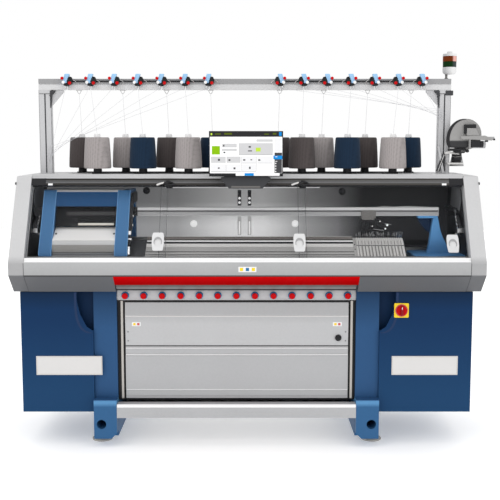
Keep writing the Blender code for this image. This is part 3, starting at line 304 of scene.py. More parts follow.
# ------------------------------------------------------------------ shapes
class Shape:
    """Collects closed bodies in one mesh, in row coordinates."""

    def __init__(self):
        self.bm = bmesh.new()

    def take(self, verts, matrix):
        bmesh.ops.transform(self.bm, matrix=matrix, verts=verts)
        return self

    def box(self, x, y, z, turn=None):
        size = Matrix.Diagonal((abs(x[1] - x[0]), abs(y[1] - y[0]), abs(z[1] - z[0]), 1.0))
        middle = Vector(((x[0] + x[1]) / 2, (y[0] + y[1]) / 2, (z[0] + z[1]) / 2))
        made = bmesh.ops.create_cube(self.bm, size=1.0)["verts"]
        spin = turn.to_4x4() if turn else Matrix.Identity(4)
        return self.take(made, Matrix.Translation(middle) @ spin @ size)

    def rod(self, start, end, radius, far=None, sides=20):
        start, end = Vector(start), Vector(end)
        line = end - start
        made = bmesh.ops.create_cone(self.bm, cap_ends=True, segments=sides, radius1=radius,
                                     radius2=radius if far is None else far, depth=line.length)["verts"]
        turn = Vector((0, 0, 1)).rotation_difference(line).to_matrix().to_4x4()
        return self.take(made, Matrix.Translation((start + end) / 2) @ turn)

    def prism(self, outline, low, high, axis):
        """An outline (y, z), (x, z) or (x, y) with thickness along axis X, Y or Z."""
        def place(a, b, c):
            return {"X": (c, a, b), "Y": (a, c, b), "Z": (a, b, c)}[axis]
        first = [self.bm.verts.new(place(a, b, low)) for a, b in outline]
        second = [self.bm.verts.new(place(a, b, high)) for a, b in outline]
        self.bm.faces.new(first)
        self.bm.faces.new(second[::-1])
        count = len(outline)
        for i in range(count):
            j = (i + 1) % count
            self.bm.faces.new((first[j], first[i], second[i], second[j]))
        return self

    def turned(self, profile, centre, axis="Z", steps=32):
        """A turned body from (radius, height) pairs that start and end at radius 0."""
        rings = []
        for radius, height in profile:
            if radius < 1e-6:
                rings.append([self.bm.verts.new((0, 0, height))])
            else:
                rings.append([self.bm.verts.new((radius * math.cos(2 * math.pi * i / steps),
                                                 radius * math.sin(2 * math.pi * i / steps), height))
                              for i in range(steps)])
        for one, two in zip(rings, rings[1:]):
            for i in range(steps):
                j = (i + 1) % steps
                corners = [one[i % len(one)], one[j % len(one)], two[j % len(two)], two[i % len(two)]]
                self.bm.faces.new(list(dict.fromkeys(corners)))
        spin = {"Z": Matrix.Identity(4), "Y": Matrix.Rotation(math.pi / 2, 4, "X"),
                "X": Matrix.Rotation(math.pi / 2, 4, "Y")}[axis]
        made = [vert for ring in rings for vert in ring]
        return self.take(made, Matrix.Translation(centre) @ spin)

    def tube(self, points, radius, sides=8):
        """A bent round wire through points, with closed ends."""
        points = [Vector(point) for point in points]
        rings = []
        side = None
        for i, point in enumerate(points):
            ahead = points[min(i + 1, len(points) - 1)] - points[max(i - 1, 0)]
            ahead.normalize()
            if side is None:
                side = ahead.orthogonal().normalized()
            side = (side - ahead * side.dot(ahead)).normalized()
            other = ahead.cross(side)
            rings.append([self.bm.verts.new(point + radius * (math.cos(2 * math.pi * k / sides) * side
                                                               + math.sin(2 * math.pi * k / sides) * other))
                          for k in range(sides)])
        self.bm.faces.new(rings[0])
        self.bm.faces.new(rings[-1][::-1])
        for one, two in zip(rings, rings[1:]):
            for k in range(sides):
                m = (k + 1) % sides
                self.bm.faces.new((one[k], one[m], two[m], two[k]))
        return self

    def loft(self, rings):
        """Closed skin through rings of points; the first and the last ring are single points."""
        made = [[self.bm.verts.new(point) for point in ring] for ring in rings]
        for one, two in zip(made, made[1:]):
            steps = max(len(one), len(two))
            for i in range(steps):
                j = (i + 1) % steps
                corners = [one[i % len(one)], one[j % len(one)], two[j % len(two)], two[i % len(two)]]
                self.bm.faces.new(list(dict.fromkeys(corners)))
        return self

    def move(self, matrix):
        bmesh.ops.transform(self.bm, matrix=matrix, verts=self.bm.verts)
        return self

    def done(self, name, material, body, bevel=0.0, slot=None, replaces=(), angle=35, segments=2):
        """Make the piece: edges broken, shading smooth over small angles, riding on its body."""
        bmesh.ops.recalc_face_normals(self.bm, faces=self.bm.faces)
        mesh = bpy.data.meshes.new(name)
        self.bm.to_mesh(mesh)
        self.bm.free()
        mesh.shade_smooth()
        mesh.set_sharp_from_angle(angle=math.radians(angle))
        mesh.materials.append(material)
        obj = bpy.data.objects.new(name, mesh)
        bpy.context.scene.collection.objects.link(obj)
        if bevel:
            edges = obj.modifiers.new("edges", "BEVEL")
            edges.width = bevel
            edges.segments = segments
            edges.limit_method = "ANGLE"
            edges.angle_limit = math.radians(40)
            edges.harden_normals = True
        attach(obj, body)
        if replaces:
            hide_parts(*replaces)
        return obj


def paint(name, material):
    """Give a CAD node its finish."""
    data = NODES[name].data
    data.materials.clear()
    data.materials.append(material)


def middle(name):
    low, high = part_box(name)
    return (low + high) / 2


# ------------------------------------------------------------------ CAD nodes
COVER_LOW, COVER_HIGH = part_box("front_cover")
# Front cover with painted light: the downward-facing lower face is painted dark grey as shade, the face is
# painted darker towards its foot, and a near-white band along the top edge is a painted highlight.
COVER = zoned("cover_painted_shade_and_highlight", (0.128, 0.131, 0.138), [(0.9555, (0.392, 0.396, 0.40)),
                                                    (1.0262, (0.80, 0.80, 0.80), 0.0008)])
shaded(COVER, 2, 0.955, 1.020, 0.90, 1.02)
for node, material in {
    "foot_front_left": RUBBER, "foot_front_right": RUBBER,
    "foot_rear_left": RUBBER, "foot_rear_right": RUBBER,
    "cloth_bay_liner": SILVER, "front_frame": BLACK, "kick_plate": PANEL_GREY, "lower_panel": PANEL_GREY,
    "cloth_door": DOOR_GREY,
    "door_lock": BLACK, "take_down_knob_bar": SILVER, "take_down_roller": RUBBER, "switch_plate": YELLOW,
    "switch_knob": RED_KNOB, "front_cover": COVER, "red_trim": RED,
    "window_track_bottom": PURE, "window_track_top": DARK, "machine_bed": DARK, "needle_bed_front": STEEL,
    "needle_bed_rear": STEEL, "yarn_clamp_block": PALE, "rail_end_casting": CARRIAGE_BLUE,
    "carriage_rail_front": STEEL,
    "carriage_rail_rear": STEEL, "carriage_bow": CARRIAGE_BLUE, "carriage_front_box": WHITE,
    "yarn_feeder": BLACK, "drive_pulley": STEEL, "idler_pulley": STEEL, "drive_belt": RUBBER,
    "drive_motor": DARK,
    "cone_shelf": SHELF, "rear_cover": WHITE, "post_left": SILVER, "post_right": SILVER,
    "lamp_base": LAMP_WHITE, "lamp_green": LAMP_GREEN, "lamp_red": LAMP_RED, "monitor": BLACK,
    "monitor_bracket": DARK,
    "led_lamp_bar": PURE, "feed_bracket": ALU, "feed_wheel": DOME_GREY, "tensioner_bank_left": BAND_BLUE,
    "tensioner_bank_right": BAND_BLUE, "cone_rack_back": BLACK, "cone_rack_front": BLACK,
    "window_left": CLEAR,
    "window_middle": CLEAR, "window_right": CLEAR,
}.items():
    paint(node, material)
# Side frames with painted light: a lighter band at the top of the boots is a painted highlight, and the
# legs are painted darker from about 0.74 m up as shade.
LEG_PAINTED_LIGHT = zoned("leg_painted_light_and_shade", (0.034, 0.112, 0.245), [(0.237, (0.095, 0.255, 0.470), 0.010),
                                                     (0.262, (0.026, 0.082, 0.195), 0.003),
                                                      (0.74, (0.014, 0.046, 0.112), 0.09)], gleam=0.10)
paint("side_frame_left", LEG_PAINTED_LIGHT)
paint("side_frame_right", LEG_PAINTED_LIGHT)
# Cabinets with painted shade: darker towards their tops, under the overhanging hood.
CABINET_PAINTED_SHADE = zoned("cabinet_painted_shade", (0.0110, 0.049, 0.125),
                     [(0.50, (0.0060, 0.031, 0.094), 0.20), (0.80, (0.005, 0.020, 0.055), 0.05)],
                     gleam=0.08)
paint("cabinet_left", CABINET_PAINTED_SHADE)
paint("cabinet_right", CABINET_PAINTED_SHADE)
# Casings with painted light: the lower chin is painted dark as shade and the upper part lighter as lit from
# above.
CASING_PAINTED_SHADE = zoned("casing_painted_shade", (0.120, 0.122, 0.129), [(0.9560, (0.36, 0.36, 0.365), 0.004),
                                                           (1.035, (0.53, 0.53, 0.535), 0.02)])
paint("casing_left", CASING_PAINTED_SHADE)
paint("casing_right", CASING_PAINTED_SHADE)
RAIL_LIGHT = surface("rail_lip_highlight", (0.52, 0.52, 0.525), 0.4)
RAIL_COAT = zoned("rail_band_coat", (0.58, 0.58, 0.585), [(1.9665, (0.30, 0.30, 0.305))])
paint("top_rail", RAIL_COAT)
# The yarn rail is painted black left of the carriage's right edge, as the shade it lies in behind the
# carriage, and grey to the right.
paint("yarn_rail", zoned("rail_painted_shade", (0.020, 0.020, 0.022), [(MX - 0.60, (0.33, 0.33, 0.335))], axis=0,
                         soft=0.002))
# Back wall with painted light and shade: lightest left of the middle and darkening to near black towards
# the right, darker towards the top, and glowing with its own colour in place of the light bar's light.
WALL_PAINTED_LIGHT = zoned("wall_painted_light_and_shade", (0.42, 0.42, 0.425), [(MX - 0.26, (0.80, 0.80, 0.805), 0.15),
                                                     (MX + 0.21, (0.36, 0.36, 0.365), 0.12),
                                                 (MX + 0.44, (0.17, 0.17, 0.175), 0.11),
                                                 (MX + 0.60, (0.018, 0.018, 0.020), 0.07)], axis=0)
lit(shaded(WALL_PAINTED_LIGHT, 2, 1.16, 1.30, 1.0, 0.42), 0.52)
paint("back_wall", WALL_PAINTED_LIGHT)


# ------------------------------------------------------------------ yarn cones
SHELF_LOW, SHELF_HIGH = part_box("cone_shelf")
DECK = SHELF_HIGH.z + 0.0003
CONE_FOOT = DECK + 0.0287
BACK_MID = middle("cone_rack_back")
FRONT_MID = middle("cone_rack_front")
BACK_ROW = sorted(BACK_MID.x + side * (0.186 + i * 0.246) for side in (-1, 1) for i in range(4))
FRONT_ROW = sorted(FRONT_MID.x + side * (0.312 + i * 0.250) for side in (-1, 1) for i in range(3))
BACK_YARNS = "dark light dark navy dark light dark navy".split()
FRONT_YARNS = "light navy light dark navy light".split()
WINDINGS = {"light": YARN_LIGHT, "dark": YARN_DARK, "navy": YARN_NAVY}
PACKAGE = [(0.0, 0.004), (0.030, 0.001), (0.068, 0.0), (0.0735, 0.003), (0.0748, 0.009), (0.0738, 0.040),
           (0.0716, 0.085), (0.0688, 0.130), (0.0664, 0.160), (0.0650, 0.1665), (0.0600, 0.1700),
           (0.030, 0.1685),
           (0.0, 0.1680)]
TIP = [(0.0, 0.160), (0.0190, 0.160), (0.0185, 0.172), (0.0165, 0.1880), (0.0150, 0.1890), (0.0130, 0.1875),
       (0.0125, 0.174), (0.0, 0.174)]
PEG = [(0.0, -0.0285), (0.0300, -0.0285), (0.0310, -0.0270), (0.0310, -0.0235), (0.0240, -0.0215),
       (0.0225, -0.0040),
       (0.0255, 0.0020), (0.0, 0.0020)]
for row, places, y, shades in (("back", BACK_ROW, BACK_MID.y, BACK_YARNS),
                               ("front", FRONT_ROW, FRONT_MID.y, FRONT_YARNS)):
    rack = "cone_rack_" + row
    for shade in sorted(set(shades)):
        wound = Shape()
        for x, this in zip(places, shades):
            if this == shade:
                wound.turned(PACKAGE, (x, y, CONE_FOOT), steps=56)
        wound.done("cones_%s_%s" % (row, shade), WINDINGS[shade], "frame", slot=rack, replaces=(rack,),
                   angle=50)
    tips = Shape()
    pegs = Shape()
    pegs.box((places[0] - 0.03, places[-1] + 0.03), (y - 0.012, y + 0.012), (DECK, DECK + 0.006))
    for x in places:
        tips.turned(TIP, (x, y, CONE_FOOT), steps=28)
        pegs.turned(PEG, (x, y, CONE_FOOT), steps=32)
    tips.done("cone_tubes_" + row, PURE, "frame", slot=rack, replaces=(rack,))
    pegs.done("cone_pegs_" + row, BLACK, "frame", slot=rack, replaces=(rack,))


# ------------------------------------------------------------------ tensioners on the top rail
RAIL_LOW, RAIL_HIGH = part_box("top_rail")
FACE = RAIL_LOW.y
UNITS = {}
for bank, inward in (("left", 1), ("right", -1)):
    low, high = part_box("tensioner_bank_" + bank)
    span = (high.x - low.x - 0.056) / 6
    first = (low.x + high.x) / 2 - 3 * span
    xs = [first + i * span for i in range(7)]
    UNITS[bank] = xs
    node = "tensioner_bank_" + bank
    covers, bodies, knobs, rings, pins = Shape(), Shape(), Shape(), Shape(), Shape()
    top = RAIL_HIGH.z + 0.025
    bodies.box((xs[0] - 0.02, xs[-1] + 0.02), (FACE - 0.0065, FACE - 0.0004),
               (RAIL_LOW.z + 0.042, RAIL_LOW.z + 0.050))
    for x in xs:
        def across(*pairs):
            return [(x + inward * a, top + b) for a, b in pairs]
        covers.prism(across((-0.026, -0.050), (-0.012, 0.0), (0.013, 0.0), (0.012, -0.006),
                            (-0.002, -0.050)),
                     FACE - 0.036, FACE - 0.002, "Y")
        bodies.prism(across((-0.001, -0.050), (0.010, -0.014), (0.022, -0.016), (0.029, -0.030),
                            (0.024, -0.052),
                            (0.006, -0.066), (-0.018, -0.064), (-0.020, -0.052)), FACE - 0.028,
                            FACE - 0.003, "Y")
        bodies.box((x - 0.004 + inward * 0.010, x + 0.004 + inward * 0.010), (FACE - 0.040, FACE - 0.027),
                   (top - 0.058, top - 0.022))
        bodies.turned([(0.0, 0.0), (0.012, 0.0), (0.013, 0.003), (0.009, 0.006), (0.009, 0.010),
                       (0.0, 0.010)],
                      (x + inward * 0.008, FACE - 0.028, top - 0.040), "Y", 20)
        for a, b, size in ((-0.025, -0.024, 0.0085), (0.016, -0.050, 0.0090)):
            knobs.turned([(0.0, 0.0), (size * 0.6, 0.0), (size * 0.6, 0.006), (size, 0.008), (size, 0.015),
                          (size * 0.8, 0.018), (0.0, 0.018)], (x + inward * a, FACE - 0.028, top + b),
                          "Y", 20)
        rings.turned([(0.0, 0.0), (0.0085, 0.0), (0.0085, 0.006), (0.0060, 0.0075), (0.0045, 0.0045),
                      (0.0, 0.0045)],
                     (x - inward * 0.019, FACE - 0.036, top - 0.046), "Y", 24)
        pins.tube([(x + inward * 0.000, FACE - 0.020, top - 0.060),
                   (x + inward * 0.001, FACE - 0.022, top - 0.078),
                   (x - inward * 0.004, FACE - 0.024, top - 0.088)], 0.0016)
        pins.tube([(x - inward * 0.012, FACE - 0.020, top - 0.058),
                   (x - inward * 0.013, FACE - 0.020, top - 0.074)],
                  0.0022)
        pins.tube([(x + inward * 0.026, FACE - 0.014, top - 0.030),
                   (x + inward * 0.044, FACE - 0.016, top - 0.040),
                   (x + inward * 0.048, FACE - 0.018, top - 0.050)], 0.0014)
    covers.done("tensioner_covers_" + bank, SKY, "frame", bevel=0.0025, slot=node, replaces=(node,))
    bodies.done("tensioner_bodies_" + bank, CHARCOAL, "frame", bevel=0.0012, slot=node, replaces=(node,))
    knobs.done("tensioner_knobs_" + bank, RED_KNOB, "frame", slot=node, replaces=(node,))
    rings.done("tensioner_eyes_" + bank, PURE, "frame", slot=node, replaces=(node,))
    pins.done("tensioner_arms_" + bank, BRIGHT, "frame", slot=node, replaces=(node,))


# ------------------------------------------------------------------ rail, posts and eyelets
RAIL_Y = (RAIL_LOW.y + RAIL_HIGH.y) / 2
GUIDES = [BACK_MID.x + side * off for side in (-1, 1) for off in (0.190, 0.433, 0.675, 0.915)]
eyelets = Shape()
for x in sorted(GUIDES):
    z = RAIL_LOW.z - 0.001
    eyelets.tube([(x - 0.013, RAIL_Y - 0.012, z), (x - 0.006, RAIL_Y - 0.013, z - 0.016),
                  (x, RAIL_Y - 0.013, z - 0.021),
                  (x + 0.006, RAIL_Y - 0.013, z - 0.016), (x + 0.013, RAIL_Y - 0.012, z)], 0.0018)
    eyelets.box((x - 0.016, x + 0.016), (RAIL_Y - 0.018, RAIL_Y - 0.006), (z - 0.003, z + 0.0005))
eyelets.done("thread_eyelets", STEEL, "frame", bevel=0.0006)
fittings = Shape()
slots = Shape()
for side, name in ((-1, "post_left"), (1, "post_right")):
    low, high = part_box(name)
    face = RAIL_LOW.y - 0.0008
    centre = MX - 0.015 + side * 1.101
    slots.box((centre - 0.0035, centre + 0.0035), (face, face + 0.002), (DECK + 0.004, RAIL_LOW.z - 0.022))
    slots.box((centre - 0.034, centre - 0.0325), (face, face + 0.002), (DECK + 0.002, RAIL_LOW.z - 0.002))
    slots.box((centre + 0.0325, centre + 0.034), (face, face + 0.002), (DECK + 0.002, RAIL_LOW.z - 0.002))
    inner = centre - side * 0.028
    fittings.prism([(inner, RAIL_LOW.z - 0.004), (inner - side * 0.030, RAIL_LOW.z - 0.004),
                    (inner - side * 0.030, RAIL_LOW.z - 0.010), (inner - side * 0.012, RAIL_LOW.z - 0.028),
                    (inner - side * 0.006, RAIL_LOW.z - 0.096), (inner, RAIL_LOW.z - 0.100)],
                   face - 0.002, face + 0.010, "Y")
    fittings.turned([(0.0, 0.0), (0.008, 0.0), (0.008, 0.003), (0.006, 0.004), (0.0, 0.004)],
                    (inner - side * 0.006, face - 0.002, RAIL_LOW.z - 0.030), "Y", 16)
    slots.box((centre - 0.030, centre + 0.030), (face - 0.001, face + 0.002),
              (RAIL_LOW.z - 0.0225, RAIL_LOW.z - 0.020))
slots.done("post_grooves", DARK, "frame", bevel=0.0004)
fittings.done("post_brackets", DARK, "frame", bevel=0.001)
clamp = Shape()
clamp.box((RAIL_HIGH.x - 0.030, RAIL_HIGH.x + 0.012), (RAIL_LOW.y - 0.004, RAIL_HIGH.y + 0.004),
          (RAIL_LOW.z - 0.030, RAIL_LOW.z - 0.004))
clamp.done("rail_clamp", DARK, "frame", bevel=0.002)
brace = Shape()
brace.prism([(MX + 1.078, DECK + 0.002), (MX + 1.092, DECK + 0.002), (MX + 1.062, DECK + 0.150),
             (MX + 1.050, DECK + 0.150)],
            RAIL_LOW.y - 0.012, RAIL_LOW.y - 0.004, "Y")
brace.done("post_brace", SILVER, "frame", bevel=0.001)


# ------------------------------------------------------------------ yarn strands
strands = Shape()
for x, y in [(x, BACK_MID.y) for x in BACK_ROW]:
    guide = min(GUIDES, key=lambda g: abs(g - x))
    strands.tube([(x, y, CONE_FOOT + 0.186), (guide, RAIL_Y - 0.013, RAIL_LOW.z - 0.020)], 0.0007, 5)
for x in FRONT_ROW:
    bank = UNITS["left"] if x < BACK_MID.x else UNITS["right"]
    unit = min(bank, key=lambda g: abs(g - x))
    strands.tube([(x, FRONT_MID.y, CONE_FOOT + 0.186), (unit, FACE - 0.024, RAIL_LOW.z - 0.004)], 0.0007, 5)
LEFT_POST = MX - 0.015 - 1.101
RIGHT_POST = MX - 0.015 + 1.101
for i, x in enumerate(UNITS["left"]):
    strands.tube([(x - 0.012, FACE - 0.020, RAIL_LOW.z + 0.006),
                  (LEFT_POST + 0.004, FACE - 0.010, DECK + 0.030 + 0.018 * i)],
                 0.0007, 5)
for i, x in enumerate(UNITS["right"]):
    strands.tube([(x + 0.012, FACE - 0.020, RAIL_LOW.z + 0.006),
                  (RIGHT_POST - 0.004, FACE - 0.010, RAIL_LOW.z - 0.110 - 0.012 * i)],
                 0.0007, 5)
strands.done("yarn_strands", STRAND, "frame")


# ------------------------------------------------------------------ sliding windows with cup handles
TRACK_FOOT, TRACK_HEAD = middle("window_track_bottom"), middle("window_track_top")
UP = Vector((0.0, TRACK_HEAD.y - TRACK_FOOT.y, TRACK_HEAD.z - TRACK_FOOT.z)).normalized()
IN_DEEP = Vector((0.0, UP.z, -UP.y))
GLASS_FOOT = Vector((0.0, TRACK_FOOT.y, TRACK_FOOT.z)) + 0.007 * UP - 0.0235 * IN_DEEP
TILT = Matrix.Rotation(-math.atan2(UP.y, UP.z), 4, "X")


def on_glass(up, deep):
    point = GLASS_FOOT + up * UP + deep * IN_DEEP
    return (point.y, point.z)


for name, track, grip in (("left", 0, -0.473), ("middle", 1, 0.2755), ("right", 2, 1.090)):
    node = "window_" + name
    body = node.replace("window_", "") + "_window"
    low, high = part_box(node)
    deep = 0.010 + 0.014 * track
    pane = Shape()
    pane.prism([on_glass(-0.005, deep - 0.002), on_glass(-0.005, deep + 0.0014),
                on_glass(0.451, deep + 0.0014),
                on_glass(0.451, deep - 0.002)], low.x, high.x, "X")
    pane.done("pane_" + name, CLEAR, body, slot=node, replaces=(node,))
    rims = Shape()
    for x in (low.x + 0.0012, high.x - 0.0012):
        rims.prism([on_glass(0.002, deep - 0.0023), on_glass(0.002, deep + 0.0023),
                    on_glass(0.446, deep + 0.0023),
                    on_glass(0.446, deep - 0.0023)], x - 0.0011, x + 0.0011, "X")
    rims.done("pane_edges_" + name, EDGE, body, slot=node)
    handle = Shape()
    steps = 48
    plate_half = ((0.0275, 0.0520), (0.0318, 0.0300), (0.0325, -0.0120), (0.0270, -0.0520))
    ring_out = []
    ring_cup = []
    ring_floor = []
    for i in range(steps):
        turn = 2 * math.pi * i / steps
        a, b = math.cos(turn), math.sin(turn)
        corners = [(p, q) for p, q in plate_half] + [(-p, q) for p, q in reversed(plate_half)]
        best = 1.0
        for (x1, z1), (x2, z2) in zip(corners, corners[1:] + corners[:1]):
            cross = a * (z2 - z1) - b * (x2 - x1)
            if abs(cross) > 1e-9:
                far = (x1 * (z2 - z1) - z1 * (x2 - x1)) / cross
                if far > 0:
                    best = min(best, far)
        ring_out.append((a * best, b * best))
        ring_cup.append((a * 0.0225, b * 0.0285 - 0.002))
        ring_floor.append((a * 0.0185, b * 0.0215 - 0.007))
    rings = [[(0.0, -0.0022, 0.0)], [(a * 0.98, -0.0022, b * 0.98) for a, b in ring_out],
             [(a, -0.0035, b) for a, b in ring_out], [(a, -0.0060, b) for a, b in ring_out],
             [(a * 0.95, -0.0076, b * 0.95) for a, b in ring_out], [(a, -0.0076, b) for a, b in ring_cup],
             [(a, -0.0030, b) for a, b in ring_floor], [(0.0, -0.0030, -0.007)]]
    handle.loft(rings)
    seat = Matrix.Translation(Vector((MX + grip, 0.0,
                                      0.0)) + GLASS_FOOT + 0.0985 * UP + deep * IN_DEEP) @ TILT
    handle.move(seat)
    handle.done("handle_" + name, PLATE_WHITE, body, slot=node, angle=28)
    # A grey crescent in the upper part of the cup paints the shadow cast by the cup's rim.
    shade = Shape()
    turns = [math.radians(-25 + 10 * i) for i in range(24)]
    shade.prism([(0.0226 * math.cos(t), 0.0286 * math.sin(t) - 0.002) for t in turns]
                + [(0.0188 * math.cos(t), 0.0205 * math.sin(t) - 0.005) for t in reversed(turns)],
                -0.0078, -0.0034, "Y")
    shade.move(seat)
    shade.done("handle_shade_" + name, SHADE, body, slot=node, angle=28)


# ------------------------------------------------------------------ bands, needles and feeder parts on
# the beds
BED_FRONT_LOW, BED_FRONT_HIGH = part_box("needle_bed_front")
CLAMP_LOW, CLAMP_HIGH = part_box("yarn_clamp_block")
CREST_Y, CREST_Z = BED_FRONT_HIGH.y, BED_FRONT_HIGH.z
COMB = CREST_Y + 0.010


def slope(reach):
    """Point (y, z) on the front bed, a distance in y in front of its crest."""
    return (CREST_Y - reach, CREST_Z - 0.625 * reach)


def strip(shape, start, end, left, right, lift, sink=0.0005):
    (y1, z1), (y2, z2) = slope(start), slope(end)
    shape.prism([(y1, z1 - sink), (y2, z2 - sink), (y2, z2 + lift), (y1, z1 + lift)], left, right, "X")


BED_X1 = MX - 0.548
BED_X2 = BED_FRONT_HIGH.x - 0.001
for name, material, parts in (
        ("bed_crest", WARM, ((0.0005, 0.018, 0.0030),)),
        ("bed_white_line", PURE, ((0.0285, 0.0345, 0.0022),)),
        ("bed_dark_lines", BLACK, ((0.0200, 0.0270, 0.0012), (0.0380, 0.0500, 0.0010),
                                   (0.1085, 0.1130, 0.0008),
                                   (0.1300, 0.1345, 0.0008))),
        ("bed_light_band", LIGHT_STEEL, ((0.0520, 0.0740, 0.0020),)),
        ("bed_mid_band", MID_STEEL, ((0.0760, 0.1075, 0.0015), (0.1140, 0.1290, 0.0015),
                                     (0.1350, 0.1590, 0.0015)))):
    shape = Shape()
    for start, end, lift in parts:
        strip(shape, start, end, BED_X1, BED_X2, lift)
    shape.done(name, material, "frame", bevel=0.0004, slot="needle_bed_front")
needles = Shape()
count = int((BED_X2 - BED_X1) / 0.0054)
for i in range(count):
    x = BED_X1 + 0.003 + i * 0.0054
    needles.box((x - 0.0006, x + 0.0006), (CREST_Y - 0.004, CREST_Y + 0.004),
                (CREST_Z + 0.001, CREST_Z + 0.0058))
    needles.box((x - 0.0006, x + 0.0006), (CREST_Y - 0.030, CREST_Y - 0.006),
                (CREST_Z - 0.017, CREST_Z - 0.0142))
needles.done("needle_hooks", LIGHT_STEEL, "frame", slot="needle_bed_front")
end_piece = Shape()
(y1, z1), (y2, z2) = slope(0.026), slope(0.158)
end_piece.prism([(y1, z1 - 0.0005), (y2, z2 - 0.0005), (y2, z2 + 0.0036), (y1, z1 + 0.0036)],
                BED_FRONT_LOW.x + 0.002, BED_X1 - 0.001, "X")
for i in range(7):
    strip(end_piece, 0.030 + 0.017 * i, 0.036 + 0.017 * i, BED_X1 - 0.030, BED_X1 - 0.004, 0.0042)
end_piece.done("bed_end_cover", DARK, "frame", bevel=0.0008)
plates = Shape()
strip(plates, 0.010, 0.158, BED_X2 + 0.001, BED_X2 + 0.014, 0.0030)
plates.done("bed_side_plate", MID_STEEL, "frame", bevel=0.0006)
screws = Shape()
for reach in (0.060, 0.095):
    y, z = slope(reach)
    screws.rod((BED_X2 + 0.0075, y, z), (BED_X2 + 0.0075, y - 0.0025, z + 0.0042), 0.0032, sides=12)
screws.done("bed_plate_screws", BLACK, "frame")

fringe = Shape()
seed = random.Random(7)
ribs = 22
pitch = (CLAMP_HIGH.x - CLAMP_LOW.x - 0.006) / ribs
for i in range(ribs * 3):
    x = CLAMP_LOW.x + 0.004 + (i + 0.3) * pitch / 3
    lean = seed.uniform(-0.006, 0.006)
    tall = seed.uniform(0.010, 0.030)
    fringe.tube([(x, COMB + 0.004, CREST_Z - 0.004), (x + lean * 0.4, COMB - 0.002, CREST_Z + tall * 0.5),
                 (x + lean, COMB + seed.uniform(-0.008, 0.002), CREST_Z + tall)], 0.0010, 5)
fringe.done("clamp_needles", BRIGHT, "frame", slot="yarn_clamp_block")
step = Shape()
for start, end, lift in ((0.004, 0.060, 0.0012),):
    for i in range(ribs):
        x = CLAMP_LOW.x + 0.004 + i * pitch
        strip(step, start + 0.002, end, x + 0.0004, x + pitch * 0.5 - 0.0004, lift)
step.done("clamp_upper_teeth", PALE, "frame", bevel=0.0003, slot="yarn_clamp_block")
seam = Shape()
strip(seam, 0.0615, 0.0650, CLAMP_LOW.x + 0.001, CLAMP_HIGH.x - 0.001, 0.0007)
seam.done("clamp_seam", DARK, "frame", slot="yarn_clamp_block")
grooves = Shape()
for i in range(14):
    x = CLAMP_LOW.x + 0.010 + i * (CLAMP_HIGH.x - CLAMP_LOW.x - 0.020) / 13.5
    strip(grooves, 0.0680, 0.1600, x, x + 0.0060, 0.0009)
    strip(grooves, 0.0300, 0.0560, x + 0.003, x + 0.0060, 0.0016)
grooves.done("clamp_grooves", CLAMP_SHADE, "frame", bevel=0.0003, slot="yarn_clamp_block")

FEED = middle("yarn_feeder")
YRAIL_LOW, YRAIL_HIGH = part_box("yarn_rail")
carrier = Shape()
carrier.box((FEED.x - 0.040, FEED.x + 0.040), (YRAIL_LOW.y - 0.0068, YRAIL_LOW.y - 0.0006),
            (YRAIL_LOW.z - 0.014, YRAIL_HIGH.z - 0.016))
carrier.box((FEED.x - 0.036, FEED.x - 0.012), (YRAIL_LOW.y - 0.0085, YRAIL_LOW.y - 0.0060),
            (YRAIL_LOW.z - 0.006, YRAIL_LOW.z + 0.024))
carrier.box((FEED.x + 0.006, FEED.x + 0.034), (YRAIL_LOW.y - 0.0085, YRAIL_LOW.y - 0.0060),
            (YRAIL_LOW.z + 0.002, YRAIL_LOW.z + 0.026))
carrier.box((FEED.x - 0.034, FEED.x + 0.030), (YRAIL_LOW.y - 0.0080, YRAIL_LOW.y - 0.0010),
            (YRAIL_LOW.z - 0.022, YRAIL_LOW.z - 0.012))
carrier.done("feeder_carrier", GUNMETAL, "feeder", bevel=0.0012, slot="yarn_feeder")
links = Shape()
fy = COMB + 0.004
for (x1, z1), (x2, z2), size in (((0.010, -0.020), (0.024, -0.058), 0.0060),
                                 ((0.024, -0.058), (-0.016, -0.096), 0.0045),
                                 ((-0.004, -0.018), (-0.022, -0.062), 0.0050),
                                 ((-0.022, -0.062), (-0.006, -0.104), 0.0035),
                                 ((0.024, -0.022), (0.070, -0.030), 0.0055),
                                 ((0.030, -0.046), (0.085, -0.070), 0.0040),
                                 ((0.050, -0.026), (0.096, -0.052), 0.0045),
                                 ((0.006, -0.060), (0.004, -0.104), 0.0025),
                                 ((-0.030, -0.070), (-0.036, -0.100), 0.0030)):
    links.tube([(FEED.x + x1, fy, YRAIL_LOW.z + z1), (FEED.x + x2, fy, YRAIL_LOW.z + z2)], size, 8)
for x, z, size in ((0.024, -0.058, 0.010), (-0.022, -0.062, 0.008), (0.066, -0.032, 0.011),
                   (0.004, -0.030, 0.012)):
    links.rod((FEED.x + x, fy - 0.005, YRAIL_LOW.z + z), (FEED.x + x, fy + 0.008, YRAIL_LOW.z + z), size,
              sides=16)
links.done("feeder_links", BLACK, "feeder", bevel=0.0005, slot="yarn_feeder")
bits = Shape()
for x, z, size in ((0.106, -0.052, 0.0075), (0.096, -0.072, 0.0060), (0.024, -0.058, 0.0040),
                   (0.066, -0.032, 0.0040)):
    bits.turned([(0.0, 0.0), (size, 0.0), (size * 0.9, 0.005), (0.0, 0.006)],
                (FEED.x + x, fy - 0.003, YRAIL_LOW.z + z), "Y", 8)
bits.tube([(FEED.x + 0.078, fy, YRAIL_LOW.z - 0.044), (FEED.x + 0.130, fy, YRAIL_LOW.z - 0.050)], 0.0016, 6)
bits.tube([(FEED.x + 0.030, fy, YRAIL_LOW.z - 0.074), (FEED.x + 0.088, fy, YRAIL_LOW.z - 0.082)], 0.0020, 6)
bits.done("feeder_bright_bits", BRIGHT, "feeder", slot="yarn_feeder")
guard = Shape()
